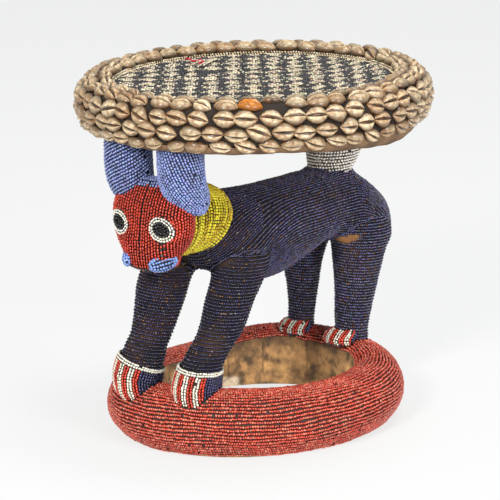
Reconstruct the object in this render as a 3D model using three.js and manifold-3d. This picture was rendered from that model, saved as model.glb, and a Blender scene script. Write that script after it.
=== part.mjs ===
// A round stool carved from one block of wood: a seat disc carried on the ears and tail of a standing
// leopard, whose paws rest on a ring foot. Cloth sewn with glass beads covers the animal, the ring and
// the sunken top, and rows of cowrie shells cover the seat's rolled rim. Millimetres, +Z up, origin on
// the floor under the middle of the whole, the leopard's head towards -Y, so that its left side is +X.

import * as THREE from 'three';
import { mergeVertices } from 'three/addons/utils/BufferGeometryUtils.js';
import Module from 'manifold-3d';

// Driving dimensions
const beadwork = 6; // cloth, stuffing and beads over the wood, at its thickest
const gap = 0.3; // left between pieces that touch
const seatUnderside = 306;
const seatReach = 180; // wider than the seat with its shells
const topFloor = 340; // wood under the sunken top
const topRadius = 140.5;
const panelThickness = 3.3;
const panelClearance = 0.7; // between the panel's edge and the rim
const seatSides = 32;
const seatSlope = 1.6; // degrees, the seat's front edge lower, over the animal's head
const seatPivot = 328; // level at which the seat is turned
const bandThickness = 1.5; // brown cloth turned under the seat's edge
const shellLength = 20.8;
const shellWidth = 12.4;
const shellHeight = 6.4;
const shellWaist = 0.34; // share of the width left where two shells meet end to end
const shellWaistHeight = 0.42;
const shellRows = 5;
const rowStep = 13; // from one row of shells to the next, over the rim
const firstRow = 5.6; // from the rim's lower edge to the middle of the lowest row
const ringWidthScale = 0.933; // the ring is oval, narrower across the animal
const ringLengthScale = 1.07;
const ringSides = 28;
const animalX = -9; // the leopard stands a little off the middle
const middleY = 9; // middle of the whole, from that of the seat and the ring, because the rump juts out
const headSquareness = 3; // exponent of the head's level sections, 2 for an ellipse
const eye = { width: 28, height: 23, spread: 28, level: 222, turn: 18, sides: 10 };
const lip = { middle: [22, -146, 186], half: [6, 16, 7], turn: 33, lift: 12 };

// Rolled rim of the seat, from its lower edge over the outside and the top to the sunken panel
const rimPoints = [
  [163, 308], [167.5, 316], [169.6, 327], [168.4, 337], [163.8, 344.4], [156, 348.4], [148, 348.6],
  [142, 346],
];

// Wooden ring, as radius and height from its outer lower edge over the top to the hole, and its beadwork's face
const ringWood = [[138, 0], [144, 25], [133, 49], [107, 52.6], [100, 48], [101, 4], [107, 0]];
const ringBeads = [[143, 2], [150, 15], [150, 36], [138, 53.5], [117, 59], [100, 53]];
const ringInside = [[122, 20]];
const ringCrest = 59;

// How far the ring's crest stands over or under that level, from turn to turn in degrees, 0 on the leopard's left
const ringUnevenness = [
  [-180, -8], [-150, -5], [-105, 0], [-60, 6], [-30, 4], [20, 3], [45, 0], [60, 1], [90, 4], [105, 6], [125, 6],
  [142, 2], [160, -7], [180, -8],
];

// Stations of the legs from the body down, each [x, y, z, half width, half depth] of a level section, with x
// from the animal's middle
const legs = {
  frontLeft: [
    [20, -30, 196, 16, 26], [31, -45, 172, 25, 32], [33, -56, 154, 25, 28], [33, -67, 136, 23.5, 26],
    [33, -80, 110, 21.5, 24], [33, -97, 92, 20, 22], [33, -108, 79, 19.5, 21],
    [34, -114, 64, 18, 19],
  ],
  frontRight: [
    [-18, -62, 200, 14, 22], [-29, -77, 174, 25, 29], [-33, -88, 152, 26, 28], [-33, -95, 132, 24, 26],
    [-33, -105, 106, 21, 22], [-33, -114, 91, 20.5, 21.5], [-33, -119, 80, 20.5, 21.5],
    [-33, -124, 64, 19, 20],
  ],
  hindLeft: [
    [22, 134, 214, 12, 22], [28, 139, 190, 25, 35], [31, 141, 166, 28.5, 36.5],
    [31, 137, 149, 26.5, 31], [31, 134, 128, 23.5, 26.5],
    [31, 131, 107, 20.5, 23.5], [31, 127, 86, 18.5, 20.5], [31, 125, 68, 17, 18.5], [31, 125, 40, 17.5, 19],
  ],
  hindRight: [
    [-22, 134, 214, 12, 22], [-28, 136, 190, 25, 34], [-31, 134, 168, 26, 33],
    [-31, 125, 148, 22.5, 26], [-31, 121, 129, 20, 22],
    [-31, 121, 108, 17, 18.5], [-31, 120, 88, 14.8, 15.8], [-31, 118, 70, 14.2, 14.8],
    [-31, 118, 40, 15, 15.5],
  ],
};
const paws = {
  frontLeft: [
    [33, -108, 84, 20.6, 22.4], [35, -114, 75, 23.5, 26.5], [38, -119, 65, 24.5, 28],
    [42, -124, 55, 22.5, 25],
    [44.5, -127, 48.5, 17, 19], [45.5, -128, 44.5, 7, 8],
  ],
  frontRight: [
    [-33, -119, 86, 21.5, 22.8], [-33, -122, 76, 24, 25.5], [-32, -126, 64, 25, 27.5],
    [-29, -130, 52, 23, 24.5],
    [-27, -132, 44, 17, 18], [-26, -133, 39, 7, 8],
  ],
  hindLeft: [
    [31, 112, 71.5, 8, 6], [31, 110, 69, 16, 12], [31, 106, 63, 18.5, 15], [31, 103, 57.5, 16, 10],
    [31, 102, 54, 7, 5],
  ],
  hindRight: [
    [-31, 112, 71.5, 8, 6], [-31, 110, 69, 16, 12], [-31, 107, 63, 18.5, 15], [-31, 104, 57.5, 16, 10],
    [-31, 103, 54, 7, 5],
  ],
};
const ears = {
  left: [
    [32, -131, 326, 22.5, 22], [32, -132, 290, 22.8, 22.5], [32.5, -131, 268, 23, 22.5],
    [34, -127, 252, 22.5, 21.5],
    [37, -123, 240, 17, 16], [40, -120, 232, 7, 7],
  ],
  right: [
    [-36, -131, 326, 24, 22], [-36, -132, 290, 24.5, 22.5], [-36, -131, 268, 24.5, 22.5],
    [-37, -127, 252, 22.5, 21.5],
    [-39, -123, 240, 17, 16], [-41, -120, 232, 7, 7],
  ],
};
const head = [
  [-1, -130, 264, 20, 8], [-2, -130, 256, 38, 13], [-2, -133, 241, 46, 17.5], [-1, -135, 222, 46, 20],
  [0, -136, 206, 39.5, 22], [0, -138, 192, 29, 19.5], [0, -138, 181, 24, 17], [0, -138, 176, 13, 10],
];
const tail = [
  [0, 136, 328, 29.5, 29], [0, 136, 280, 29.5, 29], [0, 134, 256, 28, 28], [0, 131, 240, 24.5, 24.5],
  [0, 127, 228, 22, 22], [0, 124, 205, 20, 20],
];
const tailRoot = [
  [0, 127, 233, 23.6, 23.6], [0, 126, 226, 26, 27], [0, 122, 214, 34, 40], [0, 120, 196, 40, 46],
];

// Stations along the animal, each [y, z, half width, half height, lean in degrees] of an upright section
const trunk = [
  [-104, 208, 16, 16, 0], [-86, 204, 34, 34, 0], [-60, 200, 41, 40, 0], [-25, 191, 45, 46, 0],
  [15, 187, 46, 48, 0],
  [60, 192, 44, 43, 0], [96, 198, 45, 37, 0], [138, 195, 49, 36, 0], [168, 182, 43, 34, 0],
  [187, 178, 31, 24, 0],
  [194, 176, 10, 9, 0],
];
const collar = [
  [-132, 222, 26, 22, 0], [-122, 222, 40, 34, 2], [-106, 221, 42, 36.5, 12], [-90, 219, 42, 37.5, 26],
  [-77, 215, 41, 37, 36], [-70, 210, 38.6, 35, 38],
];

// Sides and steps of each form, rough for the wood under the beadwork and fine for its face
const rough = {
  legs: [5, 3], paws: [5, 1], ear: [5, 2], head: [7, 3],
  tail: [5, 1], root: [5, 1], trunk: [7, 7], collar: [7, 1],
};
const fine = {
  legs: [8, 4], paws: [8, 3], ear: [8, 4], head: [12, 6],
  tail: [8, 2], root: [8, 1], trunk: [12, 8], collar: [10, 3],
};

const wasm = await Module();
wasm.setup();

// Leaves only shared positions, which a closed body needs
function weld(geometry) {
  const bare = geometry.clone();
  bare.deleteAttribute('normal');
  bare.deleteAttribute('uv');
  return mergeVertices(bare, 1e-4);
}

function toSolid(geometry) {
  const welded = weld(geometry);
  return new wasm.Manifold(new wasm.Mesh({
    numProp: 3,
    vertProperties: new Float32Array(welded.attributes.position.array),
    triVerts: new Uint32Array(welded.index.array),
  }));
}

function toGeometry(solid) {
  const mesh = solid.getMesh();
  const geometry = new THREE.BufferGeometry();
  geometry.setAttribute('position', new THREE.BufferAttribute(new Float32Array(mesh.vertProperties), 3));
  geometry.setIndex(new THREE.BufferAttribute(new Uint32Array(mesh.triVerts), 1));
  return geometry;
}

const join = (solids) => solids.reduce((whole, next) => whole.add(next));
const cut = (solid, cutters) => cutters.reduce((rest, cutter) => rest.subtract(cutter), solid);

// The largest part of a cut, without loose splinters
function mainPart(solid) {
  return solid.decompose().reduce((best, next) => (next.volume() > best.volume() ? next : best));
}

// A closed tube: a cylinder whose rings take their middle and half sizes from smooth curves through stations.
// It is thinner and shorter by the depth on every side.
function tube(middles, sizes, placeRing, depth, [sides, steps], squareness) {
  const path = new THREE.CatmullRomCurve3(middles);
  const spans = new THREE.CatmullRomCurve3(sizes);
  const form = new THREE.CylinderGeometry(1, 1, 1, sides, steps);
  const position = form.attributes.position;
  const squared = (v) => Math.sign(v) * Math.abs(v) ** (2 / squareness);
  const step = (2 * Math.PI) / sides;
  const fullness = Math.sqrt(step / Math.sin(step)); // gives the polygon the area of its ellipse
  for (let i = 0; i < position.count; i++) {
    const share = position.getY(i) + 0.5;
    const isEnd = Math.abs(position.getY(i)) > 0.499;
    const reach = Math.hypot(position.getX(i), position.getZ(i));
    const turn = Math.atan2(position.getZ(i), position.getX(i));
    const span = spans.getPoint(share);
    const across = reach * (span.x * fullness - depth) * squared(Math.cos(turn));
    const other = reach * (span.y * fullness - depth) * squared(Math.sin(turn));
    const point = path.getPoint(share).add(placeRing(across, other, span.z));
    if (isEnd) point.addScaledVector(path.getTangent(share), share < 0.5 ? depth : -depth);
    position.setXYZ(i, ...point.toArray());
  }
  return form.translate(animalX, 0, 0);
}

// Level sections, from the lowest station to the highest
function levelForm(stations, depth, detail, squareness = 2) {
  const upwards = [...stations].reverse();
  const middles = upwards.map(([x, y, z]) => new THREE.Vector3(x, y, z));
  const sizes = upwards.map(([, , , wide, deep]) => new THREE.Vector3(wide, deep, 0));
  const place = (across, other) => new THREE.Vector3(across, -other, 0);
  return toSolid(tube(middles, sizes, place, depth, detail, squareness));
}

// Upright sections along the animal, each leaning back by its own angle
function uprightForm(stations, depth, detail) {
  const middles = stations.map(([y, z]) => new THREE.Vector3(0, y, z));
  const radians = THREE.MathUtils.degToRad;
  const sizes = stations.map(([, , wide, high, lean]) => new THREE.Vector3(wide, high, radians(lean)));
  const place = (across, up, lean) => new THREE.Vector3(across, up * Math.sin(lean), up * Math.cos(lean));
  return toSolid(tube(middles, sizes, place, depth, detail, 2));
}

function eachOf(group, make) {
  return Object.fromEntries(Object.entries(group).map(([key, value]) => [key, make(value)]));
}

// Every form of the animal at one depth under the beadwork's face
function animalForms(depth, detail) {
  return {
    legs: eachOf(legs, (stations) => levelForm(stations, depth, detail.legs)),
    paws: eachOf(paws, (stations) => levelForm(stations, depth, detail.paws)),
    leftEar: levelForm(ears.left, depth, detail.ear),
    rightEar: levelForm(ears.right, depth, detail.ear),
    head: levelForm(head, depth, detail.head, headSquareness),
    tail: levelForm(tail, depth, detail.tail),
    tailRoot: levelForm(tailRoot, depth, detail.root),
    trunk: uprightForm(trunk, depth, detail.trunk),
    collar: uprightForm(collar, depth, detail.collar),
  };
}
function allForms({ legs: legForms, paws: pawForms, ...others }) {
  return [...Object.values(legForms), ...Object.values(pawForms), ...Object.values(others)];
}

// A profile of [radius, height] points that runs anticlockwise, turned about the upright axis
function lathe(points, sides) {
  const profile = [...points, points[0]].map(([r, z]) => new THREE.Vector2(r, z));
  return new THREE.LatheGeometry(profile, sides).rotateX(Math.PI / 2);
}

// A turned form of the seat, with the seat's slope
function seatForm(geometry) {
  const sloped = geometry.translate(0, 0, -seatPivot).rotateX(THREE.MathUtils.degToRad(seatSlope));
  return toSolid(sloped.translate(0, 0, seatPivot));
}

// The crest's unevenness at a turn, straight from one row of its table to the next
function crestRise(turn) {
  const degrees = THREE.MathUtils.radToDeg(turn);
  const next = ringUnevenness.findIndex(([at]) => at >= degrees);
  const [end, high] = ringUnevenness[Math.max(next, 1)];
  const [start, low] = ringUnevenness[Math.max(next, 1) - 1];
  return THREE.MathUtils.mapLinear(degrees, start, end, low, high);
}

// A ring turned from a profile, then made oval and uneven, with its foot left flat
function ovalRing(points) {
  const ring = lathe(points, ringSides);
  const position = ring.attributes.position;
  for (let i = 0; i < position.count; i++) {
    const rise = crestRise(Math.atan2(position.getY(i), position.getX(i)));
    position.setZ(i, position.getZ(i) * (1 + rise / ringCrest));
  }
  return toSolid(ring.scale(ringWidthScale, ringLengthScale, 1));
}

// Moves a profile out of its own material, to its right as it runs
function shifted(points, by) {
  return points.map(([r, z], i) => {
    const [r0, z0] = points[Math.max(i - 1, 0)];
    const [r1, z1] = points[Math.min(i + 1, points.length - 1)];
    const length = Math.hypot(r1 - r0, z1 - z0);
    return [r + ((z1 - z0) / length) * by, z - ((r1 - r0) / length) * by];
  });
}

const rim = new THREE.SplineCurve(rimPoints.map(([r, z]) => new THREE.Vector2(r, z)));

function seatWood() {
  const outside = rim.getSpacedPoints(4).map((p) => [p.x, p.y]);
  const profile = [[0, seatUnderside], [150, seatUnderside], ...outside, [topRadius, topFloor], [0, topFloor]];
  return seatForm(lathe(profile, seatSides));
}

// The space that the seat takes out of what stands under it
function seatSpace() {
  const low = seatUnderside - gap;
  return seatForm(lathe([[0, low], [seatReach, low], [seatReach, topFloor], [0, topFloor]], seatSides));
}

// Brown cloth turned round the lower edge of the seat
function edgeBand() {
  const wood = [[150, seatUnderside], [161.4, 307.6]];
  const outside = shifted(wood, gap + bandThickness);
  const inside = shifted(wood, gap).reverse();
  return seatForm(lathe([...outside, ...inside], seatSides));
}

function seatPanel() {
  const low = topFloor + gap;
  const high = low + panelThickness;
  const radius = topRadius - panelClearance;
  return seatForm(lathe([[0, low], [radius, low], [radius, high], [0, high]], seatSides));
}

// Skins a closed chain of equal sections
function closedChain(sections) {
  const corners = sections[0].length;
  const index = [];
  for (let i = 0; i < sections.length; i++) {
    const next = (i + 1) % sections.length;
    for (let j = 0; j < corners; j++) {
      const k = (j + 1) % corners;
      const [a, b, c, d] = [i * corners + j, next * corners + j, next * corners + k, i * corners + k];
      index.push(a, b, c, a, c, d);
    }
  }
  const geometry = new THREE.BufferGeometry();
  geometry.setAttribute('position', new THREE.Float32BufferAttribute(sections.flat(2), 3));
  geometry.setIndex(index);
  return geometry;
}

// One row of shells laid end to end round the rim, widest and highest at the middle of each shell
function cowrieRow(distance) {
  const share = distance / rim.getLength();
  const point = rim.getPointAt(share);
  const along = rim.getTangentAt(share);
  const shells = Math.round((2 * Math.PI * (point.x + shellHeight / 2)) / shellLength);
  const foot = gap + 0.08;
  const sections = [];
  for (let i = 0; i < shells * 2; i++) {
    const isMiddle = i % 2 === 0;
    const half = (shellWidth / 2) * (isMiddle ? 1 : shellWaist);
    const crest = foot + shellHeight * (isMiddle ? 1 : shellWaistHeight);
    const turn = (i / (shells * 2)) * 2 * Math.PI;
    const section = [[-half, foot], [0, crest], [half, foot]].map(([side, up]) => {
      const r = point.x + along.x * side + along.y * up;
      const z = point.y + along.y * side - along.x * up;
      return [r * Math.cos(turn), r * Math.sin(turn), z];
    });
    sections.push(section);
  }
  return seatForm(closedChain(sections));
}

// An upright oval plug through the face, whose end looks sideways by the eye's turn
function eyePlug(side, margin) {
  const { width, height, spread, level, turn, sides } = eye;
  const plug = new THREE.CylinderGeometry(1, 1, 40, sides).scale(width / 2 + margin, 1, height / 2 + margin);
  plug.rotateZ(THREE.MathUtils.degToRad(side * turn));
  return toSolid(plug.translate(animalX + side * spread, head[3][1] - 10, level));
}

function lipPad(side) {
  const [x, y, z] = lip.middle;
  const pad = new THREE.SphereGeometry(1, 7, 5).scale(...lip.half);
  pad.rotateX(THREE.MathUtils.degToRad(lip.lift)).rotateZ(THREE.MathUtils.degToRad(-side * lip.turn));
  return toSolid(pad.translate(animalX + side * x, y, z));
}

const stool = new THREE.Group();
function addPiece(name, solid, color, roughness) {
  const geometry = toGeometry(solid).translate(0, -middleY, 0);
  const mesh = new THREE.Mesh(geometry, new THREE.MeshStandardMaterial({ color, roughness, metalness: 0 }));
  mesh.name = name;
  stool.add(mesh);
}

const colours = {
  wood: 0x7a5a38, navy: 0x23233f, red: 0xb5301f, brick: 0xa8382c, blue: 0x6f86cf, yellow: 0xd8c020,
  ivory: 0xd8d2bd, dark: 0x1d1b1c, check: 0x5a5650, cloth: 0x6b4c30, shell: 0xd9c39a,
};
const beadShine = 0.35;

const wood = animalForms(beadwork, rough);
const space = animalForms(beadwork - gap, rough);
const face = animalForms(0, fine);
const swollen = animalForms(-gap, fine);

// The carved block carries everything; the beadwork is what lies between its face and the wood
const block = mainPart(join([seatWood(), ovalRing(ringWood), ...allForms(wood)]));
const blockSpace = join([seatSpace(), ovalRing(shifted(ringWood, gap)), ...allForms(space)]);
const cover = (solid, neighbours = []) => mainPart(cut(solid, [...neighbours, blockSpace]));
const wideEars = [swollen.leftEar, swollen.rightEar];
const sewnOver = [swollen.collar, swollen.head, ...wideEars, ...Object.values(swollen.paws)];

addPiece('carved_wooden_stool', block, colours.wood, 0.8);

const body = join([face.trunk, face.tailRoot, ...Object.values(face.legs)]);
const aboveRump = cut(swollen.tail, [swollen.tailRoot, swollen.trunk]);
addPiece('beaded_body', cover(body, [...sewnOver, aboveRump]), colours.navy, beadShine);
addPiece('beaded_tail', cover(face.tail, [swollen.tailRoot, swollen.trunk]), colours.ivory, beadShine);
addPiece('beaded_collar', cover(face.collar, [swollen.head, ...wideEars]), colours.yellow, beadShine);
addPiece('beaded_left_ear', cover(face.leftEar), colours.blue, beadShine);
addPiece('beaded_right_ear', cover(face.rightEar), colours.blue, beadShine);

const faceCover = cover(face.head, wideEars);
addPiece('beaded_face', mainPart(cut(faceCover, [eyePlug(1, gap), eyePlug(-1, gap)])), colours.red, beadShine);
for (const [name, side] of [['left', 1], ['right', -1]]) {
  addPiece(`beaded_${name}_eye`, mainPart(faceCover.intersect(eyePlug(side, 0))), colours.dark, beadShine);
  addPiece(`beaded_${name}_lip`, mainPart(cut(lipPad(side), [swollen.head])), colours.blue, beadShine);
}
const pawNames = {
  frontLeft: 'front_left', frontRight: 'front_right', hindLeft: 'hind_left', hindRight: 'hind_right',
};
for (const [key, name] of Object.entries(pawNames)) {
  addPiece(`beaded_${name}_paw`, cover(face.paws[key]), colours.red, beadShine);
}

const ringSkin = ovalRing([...ringBeads, ...ringInside]);
const feet = [...Object.values(swollen.paws), swollen.legs.hindLeft, swollen.legs.hindRight];
addPiece('beaded_ring', cover(ringSkin, feet), colours.brick, beadShine);

addPiece('beaded_seat_panel', seatPanel(), colours.check, beadShine);
addPiece('seat_edge_cloth_band', mainPart(cut(edgeBand(), [...wideEars, swollen.tail])), colours.cloth, 0.9);
for (let row = 0; row < shellRows; row++) {
  addPiece(`cowrie_row_${row + 1}`, cowrieRow(firstRow + row * rowStep), colours.shell, 0.3);
}

export default stool;
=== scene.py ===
# A round stool carried by a standing leopard: carved wood under glass beads sewn to cloth, with rows of
# cowrie shells round the seat. Shapes are worked out in millimetres round the middle of the seat.
import bpy
import numpy as np
from mathutils import Matrix, Vector


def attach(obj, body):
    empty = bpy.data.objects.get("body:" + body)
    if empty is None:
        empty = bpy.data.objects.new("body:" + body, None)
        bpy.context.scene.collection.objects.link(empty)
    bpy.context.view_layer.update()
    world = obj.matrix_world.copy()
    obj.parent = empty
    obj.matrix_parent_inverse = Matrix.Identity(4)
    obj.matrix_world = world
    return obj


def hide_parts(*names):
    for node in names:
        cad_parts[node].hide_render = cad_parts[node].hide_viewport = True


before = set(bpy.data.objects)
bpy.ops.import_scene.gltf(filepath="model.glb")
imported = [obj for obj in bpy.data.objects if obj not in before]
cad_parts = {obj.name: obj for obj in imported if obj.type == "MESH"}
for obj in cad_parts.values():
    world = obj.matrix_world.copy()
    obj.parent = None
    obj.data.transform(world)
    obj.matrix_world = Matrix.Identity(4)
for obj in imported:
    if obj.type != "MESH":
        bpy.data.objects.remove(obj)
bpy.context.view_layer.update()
print("frame loaded")

placing = {"animalX": -9.0, "middleY": 9.0, "seed": 7}
rng = np.random.default_rng(placing["seed"])


def toScene(points):
    # millimetres round the seat's middle to metres in the row's frame
    return (np.asarray(points, float) - [0, placing["middleY"], 0]) * 0.001


# camera and light

photoCamera = {"azimuth": 41.0, "elevation": 13.33, "distance": 2500.0, "aim": 180.0, "focalPixels": 2519.0,
               "roll": 0.6, "shift": (-0.0104, -0.0176), "sensor": 36.0, "picturePixels": 500,
               "farthest": 50.0}


def makeCamera(c):
    # stands on a sphere round the aim point and looks back at it, then rolls by a hair
    turn, lift, roll = np.radians([c["azimuth"], c["elevation"], c["roll"]])
    back = np.array([np.sin(turn) * np.cos(lift), -np.cos(turn) * np.cos(lift), np.sin(lift)])
    right = np.array([np.cos(turn), np.sin(turn), 0])
    up = np.cross(back, right)
    rolledRight = right * np.cos(roll) - up * np.sin(roll)
    rolledUp = up * np.cos(roll) + right * np.sin(roll)
    place = toScene([np.array([0, 0, c["aim"]]) + back * c["distance"]])[0]
    data = bpy.data.cameras.new("camera")
    data.sensor_width = c["sensor"]
    data.lens = c["focalPixels"] * c["sensor"] / c["picturePixels"]
    data.shift_x, data.shift_y = c["shift"]
    data.clip_end = c["farthest"]
    camera = bpy.data.objects.new("camera", data)
    matrix = Matrix.Identity(4)
    for column, axis in enumerate((rolledRight, rolledUp, back)):
        for row in range(3):
            matrix[row][column] = axis[row]
    matrix.translation = Vector(place)
    camera.matrix_world = matrix
    bpy.context.collection.objects.link(camera)
    bpy.context.scene.camera = camera


studio = {
    "world": (0.96, 0.97, 0.965), "worldStrength": 0.55,
    "lamps": [  # name, place in metres, width, watts, colour
        ("keyLight", (0.6, -2.5, 1.6), 0.7, 72, (1.0, 0.98, 0.95)),
        ("fillLight", (2.6, -0.6, 1.0), 1.2, 58, (0.98, 0.98, 1.0)),
        ("topLight", (0.3, 0.5, 2.6), 0.9, 22, (1.0, 1.0, 1.0)),
    ],
    "lampAim": (0, 0, 0.15),
    "floorColour": (0.15, 0.152, 0.151), "floorRoughness": 0.9, "floorGlow": 0.75, "floorHalf": 6.0,
}


def makeWorld(s):
    # an even pale light from all round, shown with plain colours
    world = bpy.data.worlds.new("studioWorld")
    world.use_nodes = True
    background = world.node_tree.nodes["Background"]
    background.inputs["Color"].default_value = (*s["world"], 1)
    background.inputs["Strength"].default_value = s["worldStrength"]
    bpy.context.scene.world = world
    bpy.context.scene.view_settings.view_transform = "Standard"


def makeLamps(s):
    # round area lamps, each turned to look at the aim point
    for name, place, width, watts, colour in s["lamps"]:
        data = bpy.data.lights.new(name, "AREA")
        data.shape = "DISK"
        data.size = width
        data.energy = watts
        data.color = colour
        lamp = bpy.data.objects.new(name, data)
        lamp.location = place
        lamp.rotation_euler = (Vector(s["lampAim"]) - Vector(place)).to_track_quat("-Z", "Y").to_euler()
        bpy.context.collection.objects.link(lamp)


def makeFloor(s):
    # one square that glows a little, so that it runs into the pale background
    half = s["floorHalf"]
    corners = [(-half, -half, 0), (half, -half, 0), (half, half, 0), (-half, half, 0)]
    mesh = bpy.data.meshes.new("floor")
    mesh.from_pydata(corners, [], [(0, 1, 2, 3)])
    floor = bpy.data.objects.new("floor", mesh)
    bpy.context.collection.objects.link(floor)
    material = bpy.data.materials.new("floorPaint")
    material.use_nodes = True
    shader = material.node_tree.nodes["Principled BSDF"]
    shader.inputs["Base Color"].default_value = (*s["floorColour"], 1)
    shader.inputs["Roughness"].default_value = s["floorRoughness"]
    shader.inputs["Emission Color"].default_value = (*s["world"], 1)
    shader.inputs["Emission Strength"].default_value = s["floorGlow"]
    mesh.materials.append(material)


makeCamera(photoCamera)
makeWorld(studio)
makeLamps(studio)
makeFloor(studio)
print("camera and studio ready")


# carved forms: the animal's sections, each table from the body outwards, millimetres

legTables = {
    "frontLeft": [[20, -30, 196, 16, 26], [31, -45, 172, 25, 32], [33, -56, 154, 25, 28],
                  [33, -67, 136, 23.5, 26], [33, -80, 110, 21.5, 24], [33, -98.5, 92, 20.4, 22.8],
                  [33, -109, 79, 20.2, 22], [34, -114, 64, 18, 19]],
    "frontRight": [[-18, -62, 200, 14, 22], [-29, -77, 174, 25, 29], [-33, -88, 152, 26, 28],
                   [-33, -95, 132, 24, 26], [-33, -105.5, 106, 21.2, 22.3], [-33.6, -115, 91, 21.3, 22.4],
                   [-33, -119.5, 80, 21.2, 22.3], [-33, -124, 64, 19, 20]],
    "hindLeft": [[22, 134, 214, 12, 22], [28, 139, 190, 25, 35], [31, 141, 166, 28.5, 36.5],
                 [31, 137, 149, 26.5, 31], [31, 134, 128, 23.5, 26.5], [31, 131, 107, 20.5, 23.5],
                 [31, 127, 86, 18.5, 20.5], [31, 125, 68, 17, 18.5], [31, 125, 40, 17.5, 19]],
    "hindRight": [[-22, 134, 214, 12, 22], [-28, 136, 190, 25, 34], [-31, 134, 168, 26, 33],
                  [-31, 125, 148, 22.5, 26], [-31, 121, 129, 20, 22], [-31, 121, 108, 17, 18.5],
                  [-31, 120, 88, 14.8, 15.8], [-31, 118, 70, 14.2, 14.8], [-31, 118, 40, 15, 15.5]],
}
pawTables = {
    "frontLeft": [[33.5, -109.5, 80, 20.8, 22.8], [34.6, -114.5, 73, 22.2, 25], [37, -120, 64, 23, 26.4],
                  [41, -125, 55, 21.2, 23.8], [44, -128, 48.5, 16.5, 18], [45, -129, 44.5, 7, 8]],
    "frontRight": [[-34, -121, 77.5, 21.8, 23], [-34, -124.5, 71, 23, 24.8], [-33.5, -128, 63, 23.6, 26],
                   [-30.5, -131.5, 52, 21.8, 23.4], [-28, -133, 44, 16.5, 17.5], [-27, -134, 39, 7, 8]],
    "hindLeft": [[31, 112, 71.5, 8, 6], [31, 110, 69, 16, 12], [31, 106, 63, 18.5, 15],
                 [31, 103, 57.5, 16, 10], [31, 102, 54, 7, 5]],
    "hindRight": [[-31, 112, 71.5, 8, 6], [-31, 110, 69, 16, 12], [-31, 107, 63, 18.5, 15],
                  [-31, 104, 57.5, 16, 10], [-31, 103, 54, 7, 5]],
}
earTables = {
    "left": [[32, -131, 326, 22.5, 22], [32, -132, 290, 22.8, 22.5], [32.5, -131, 268, 23, 22.5],
             [34, -127, 252, 22.5, 21.5], [37, -123, 240, 17, 16], [40, -120, 232, 7, 7]],
    "right": [[-36, -131, 326, 24, 22], [-36, -132, 290, 24.5, 22.5], [-36, -131, 268, 24.5, 22.5],
              [-37, -127, 252, 22.5, 21.5], [-39, -123, 240, 17, 16], [-41, -120, 232, 7, 7]],
}
headTable = [[-1, -130, 264, 20, 8], [-2, -130, 256, 38, 13], [-2, -133, 241, 46, 17.5],
             [-1, -135, 222, 46, 20], [0, -136, 206, 39.5, 22], [0, -138, 192, 29, 19.5],
             [0, -138, 181, 24, 17], [0, -138, 176, 13, 10]]
tailTable = [[0, 136, 328, 29.5, 29], [0, 136, 280, 29.5, 29], [0, 135, 256, 29.6, 29.4],
             [0, 131.5, 240, 26, 26], [0, 127, 228, 22, 22], [0, 124, 205, 20, 20]]
tailRootTable = [[0, 127, 233, 23.6, 23.6], [0, 126, 226, 26, 27], [0, 122, 214, 34, 40],
                 [0, 120, 196, 40, 46]]
trunkTable = [[-104, 208, 16, 16], [-86, 204, 34, 34], [-60, 200, 41, 40], [-25, 191, 45, 46],
              [15, 187, 46, 48], [60, 192, 44, 43], [96, 198, 45, 37], [138, 195, 49, 36],
              [168, 182, 43, 34], [187, 178, 31, 24], [194, 176, 10, 9]]
collarTable = [[-132, 222, 26, 22, 0], [-122, 222, 40, 34, 2], [-106, 221, 42, 36.5, 12],
               [-90, 219, 42, 37.5, 26], [-77, 215, 41, 37, 36], [-70, 210, 38.6, 35, 38]]


fineness = {"levelRows": 160, "uprightRows": 200, "collarRows": 90, "slopeStep": 0.1, "settleStep": 0.15,
            "farthestMove": 9.0, "leastSlope": 0.05, "lid": 0.02}


def fullTurn(count):
    # equal angles once round, without the last one, which meets the first
    return np.linspace(0, 2 * np.pi, count + 1)[:-1]


def unit(vectors):
    # vectors over their own length
    return vectors / np.maximum(np.linalg.norm(vectors, axis=-1, keepdims=True), 1e-9)


def lengthAlong(points):
    # each point's distance from the first, along the line through them all
    return np.concatenate([[0], np.cumsum(np.linalg.norm(np.diff(points, axis=0), axis=1))])


def smoothRows(table, count):
    # smooth cubic curve through the table's rows, evenly in the row number
    rows = np.asarray(table, float)
    padded = np.vstack([2 * rows[0] - rows[1], rows, 2 * rows[-1] - rows[-2]])
    place = np.linspace(0, len(rows) - 1, count)
    first = np.minimum(place.astype(int), len(rows) - 2)
    t = (place - first)[:, None]
    a, b, c, d = (padded[first + k] for k in range(4))
    square = 2 * a - 5 * b + 4 * c - d
    cube = 3 * b - a - 3 * c + d
    return 0.5 * (2 * b + (c - a) * t + square * t ** 2 + cube * t ** 3)


def levelForm(table, power=2.0, lean=(0.0, 0.0)):
    # sections lie level, or lean more and more towards the top by a rise along x and y; the long axis is z
    rows = smoothRows(table[::-1], fineness["levelRows"])
    return {"long": 2, "side": (0, 1), "t": rows[:, 2],
            "mid": (rows[:, 0] + placing["animalX"], rows[:, 1]), "half": (rows[:, 3], rows[:, 4]),
            "power": power, "lean": lean}


def uprightForm(table):
    # sections stand upright across the animal; the long axis is y
    rows = smoothRows(table, fineness["uprightRows"])
    return {"long": 1, "side": (0, 2), "t": rows[:, 0],
            "mid": (rows[:, 0] * 0 + placing["animalX"], rows[:, 1]), "half": (rows[:, 2], rows[:, 3]),
            "power": 2.0, "lean": (0.0, 0.0)}


def sectionAt(form, t):
    # middle and half widths of the form's section at a distance along it, by straight interpolation
    return [np.interp(t, form["t"], values) for values in (*form["mid"], *form["half"])]


def leanAt(form, x, y, t):
    # how far the form's lean lifts a point, by the square of its share of the height
    share = np.clip((t - form["t"][0]) / (form["t"][-1] - form["t"][0]), 0, 1) ** 2
    midX, midY = sectionAt(form, t)[:2]
    return share * ((x - midX) * form["lean"][0] + (y - midY) * form["lean"][1])


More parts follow.
